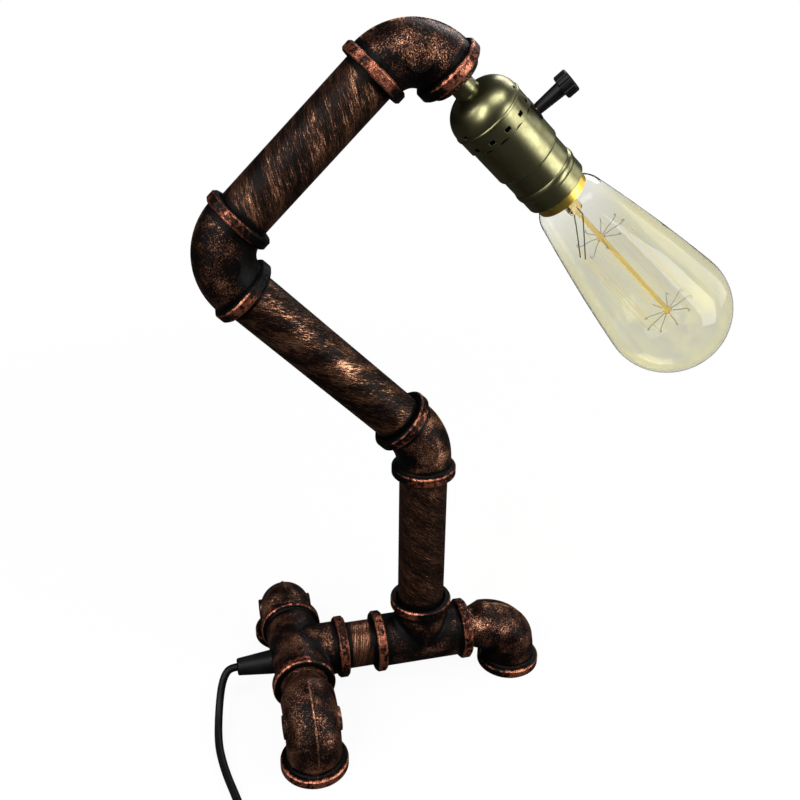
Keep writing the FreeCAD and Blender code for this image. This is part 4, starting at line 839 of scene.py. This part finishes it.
# the floor's colour and the room's strength in reflections; the camera and the glass see both white
FLOOR_UNSEEN = rgb(0.05, 0.05, 0.05)
ROOM_STRENGTH = 0.03


def make_floor():
    """A white floor: bright of itself in the picture, and lightly shaded round the lamp."""
    mesh = bpy.data.meshes.new("floor")
    corners = [(x * FLOOR_HALF, y * FLOOR_HALF, 0) for x, y in ((-1, -1), (1, -1), (1, 1), (-1, 1))]
    mesh.from_pydata(corners, [], [(0, 1, 2, 3)])
    floor = bpy.data.objects.new("floor", mesh)
    bpy.context.scene.collection.objects.link(floor)
    f = Finish("floor_paper")
    grain = f.noise(f.point, scale=0.02)
    glow = f.node("Emission", {"Color": WHITE, "Strength": 1.0})
    path = f.node("LightPath", {})
    seen = f.maths("MAXIMUM", path.outputs["Is Camera Ray"], path.outputs["Is Transmission Ray"])
    colour = f.blend(seen, FLOOR_UNSEEN, f.blend(grain, PAPER, DARKER_PAPER))
    f.set(Base_Color=colour, Roughness=0.9, Specular_IOR_Level=0.0)
    distance = f.times(f.length(f.point), MM)
    share = f.times(seen, f.step(distance, SHADOW_REACH, SHADOW_FADE, FLOOR_GLOW, 1.0))
    mesh.materials.append(f.mix_shader(share, glow))


make_floor()

# the studio's lights aim at the middle of the table lamp
AIM = Vector((0, 0, 170 * MM))
# each light: its azimuth and elevation in degrees, its distance and its two sides in metres, its watts
LIGHTS = {
    "top": (15, 62, 1.3, (0.9, 0.5), 9),
    "right_front": (52, 9, 1.2, (0.60, 0.8), 10),
    "left_front": (-44, 26, 1.2, (0.42, 0.8), 8),
    "left_wall": (-82, 34, 1.2, (0.40, 0.6), 4),
    "right_wall": (92, 18, 1.2, (0.60, 0.6), 2),
    "back": (140, 38, 1.3, (0.7, 0.5), 6),
}


def make_light(name, azimuth, elevation, distance, sides, power):
    """A soft oblong light, seen from the aim in that direction; azimuth 0 is in front of the table lamp."""
    a, e = math.radians(azimuth), math.radians(elevation)
    back = Vector((math.sin(a) * math.cos(e), -math.cos(a) * math.cos(e), math.sin(e)))
    data = bpy.data.lights.new(name, "AREA")
    data.shape = "RECTANGLE"
    data.size, data.size_y = sides
    data.energy = power
    light = bpy.data.objects.new(name, data)
    light.location = AIM + back * distance
    light.rotation_mode = "QUATERNION"
    light.rotation_quaternion = back.to_track_quat("Z", "Y")
    bpy.context.scene.collection.objects.link(light)


for name, settings in LIGHTS.items():
    make_light(name, *settings)


def make_world():
    """White for what is seen straight or through glass; a dim studio for the rest."""
    world = bpy.data.worlds.new("studio")
    bpy.context.scene.world = world
    world.use_nodes = True
    tree = world.node_tree
    backdrop = tree.nodes["Background"]
    backdrop.inputs["Color"].default_value = WHITE
    path = tree.nodes.new("ShaderNodeLightPath")
    seen = tree.nodes.new("ShaderNodeMath")
    seen.operation = "MAXIMUM"
    tree.links.new(path.outputs["Is Camera Ray"], seen.inputs[0])
    tree.links.new(path.outputs["Is Transmission Ray"], seen.inputs[1])
    room = tree.nodes.new("ShaderNodeBackground")
    room.inputs["Color"].default_value = WHITE
    room.inputs["Strength"].default_value = ROOM_STRENGTH
    mixed = tree.nodes.new("ShaderNodeMixShader")
    tree.links.new(seen.outputs[0], mixed.inputs[0])
    tree.links.new(room.outputs[0], mixed.inputs[1])
    tree.links.new(backdrop.outputs[0], mixed.inputs[2])
    tree.links.new(mixed.outputs[0], tree.nodes["World Output"].inputs["Surface"])


make_world()
bpy.context.scene.view_settings.view_transform = "Standard"
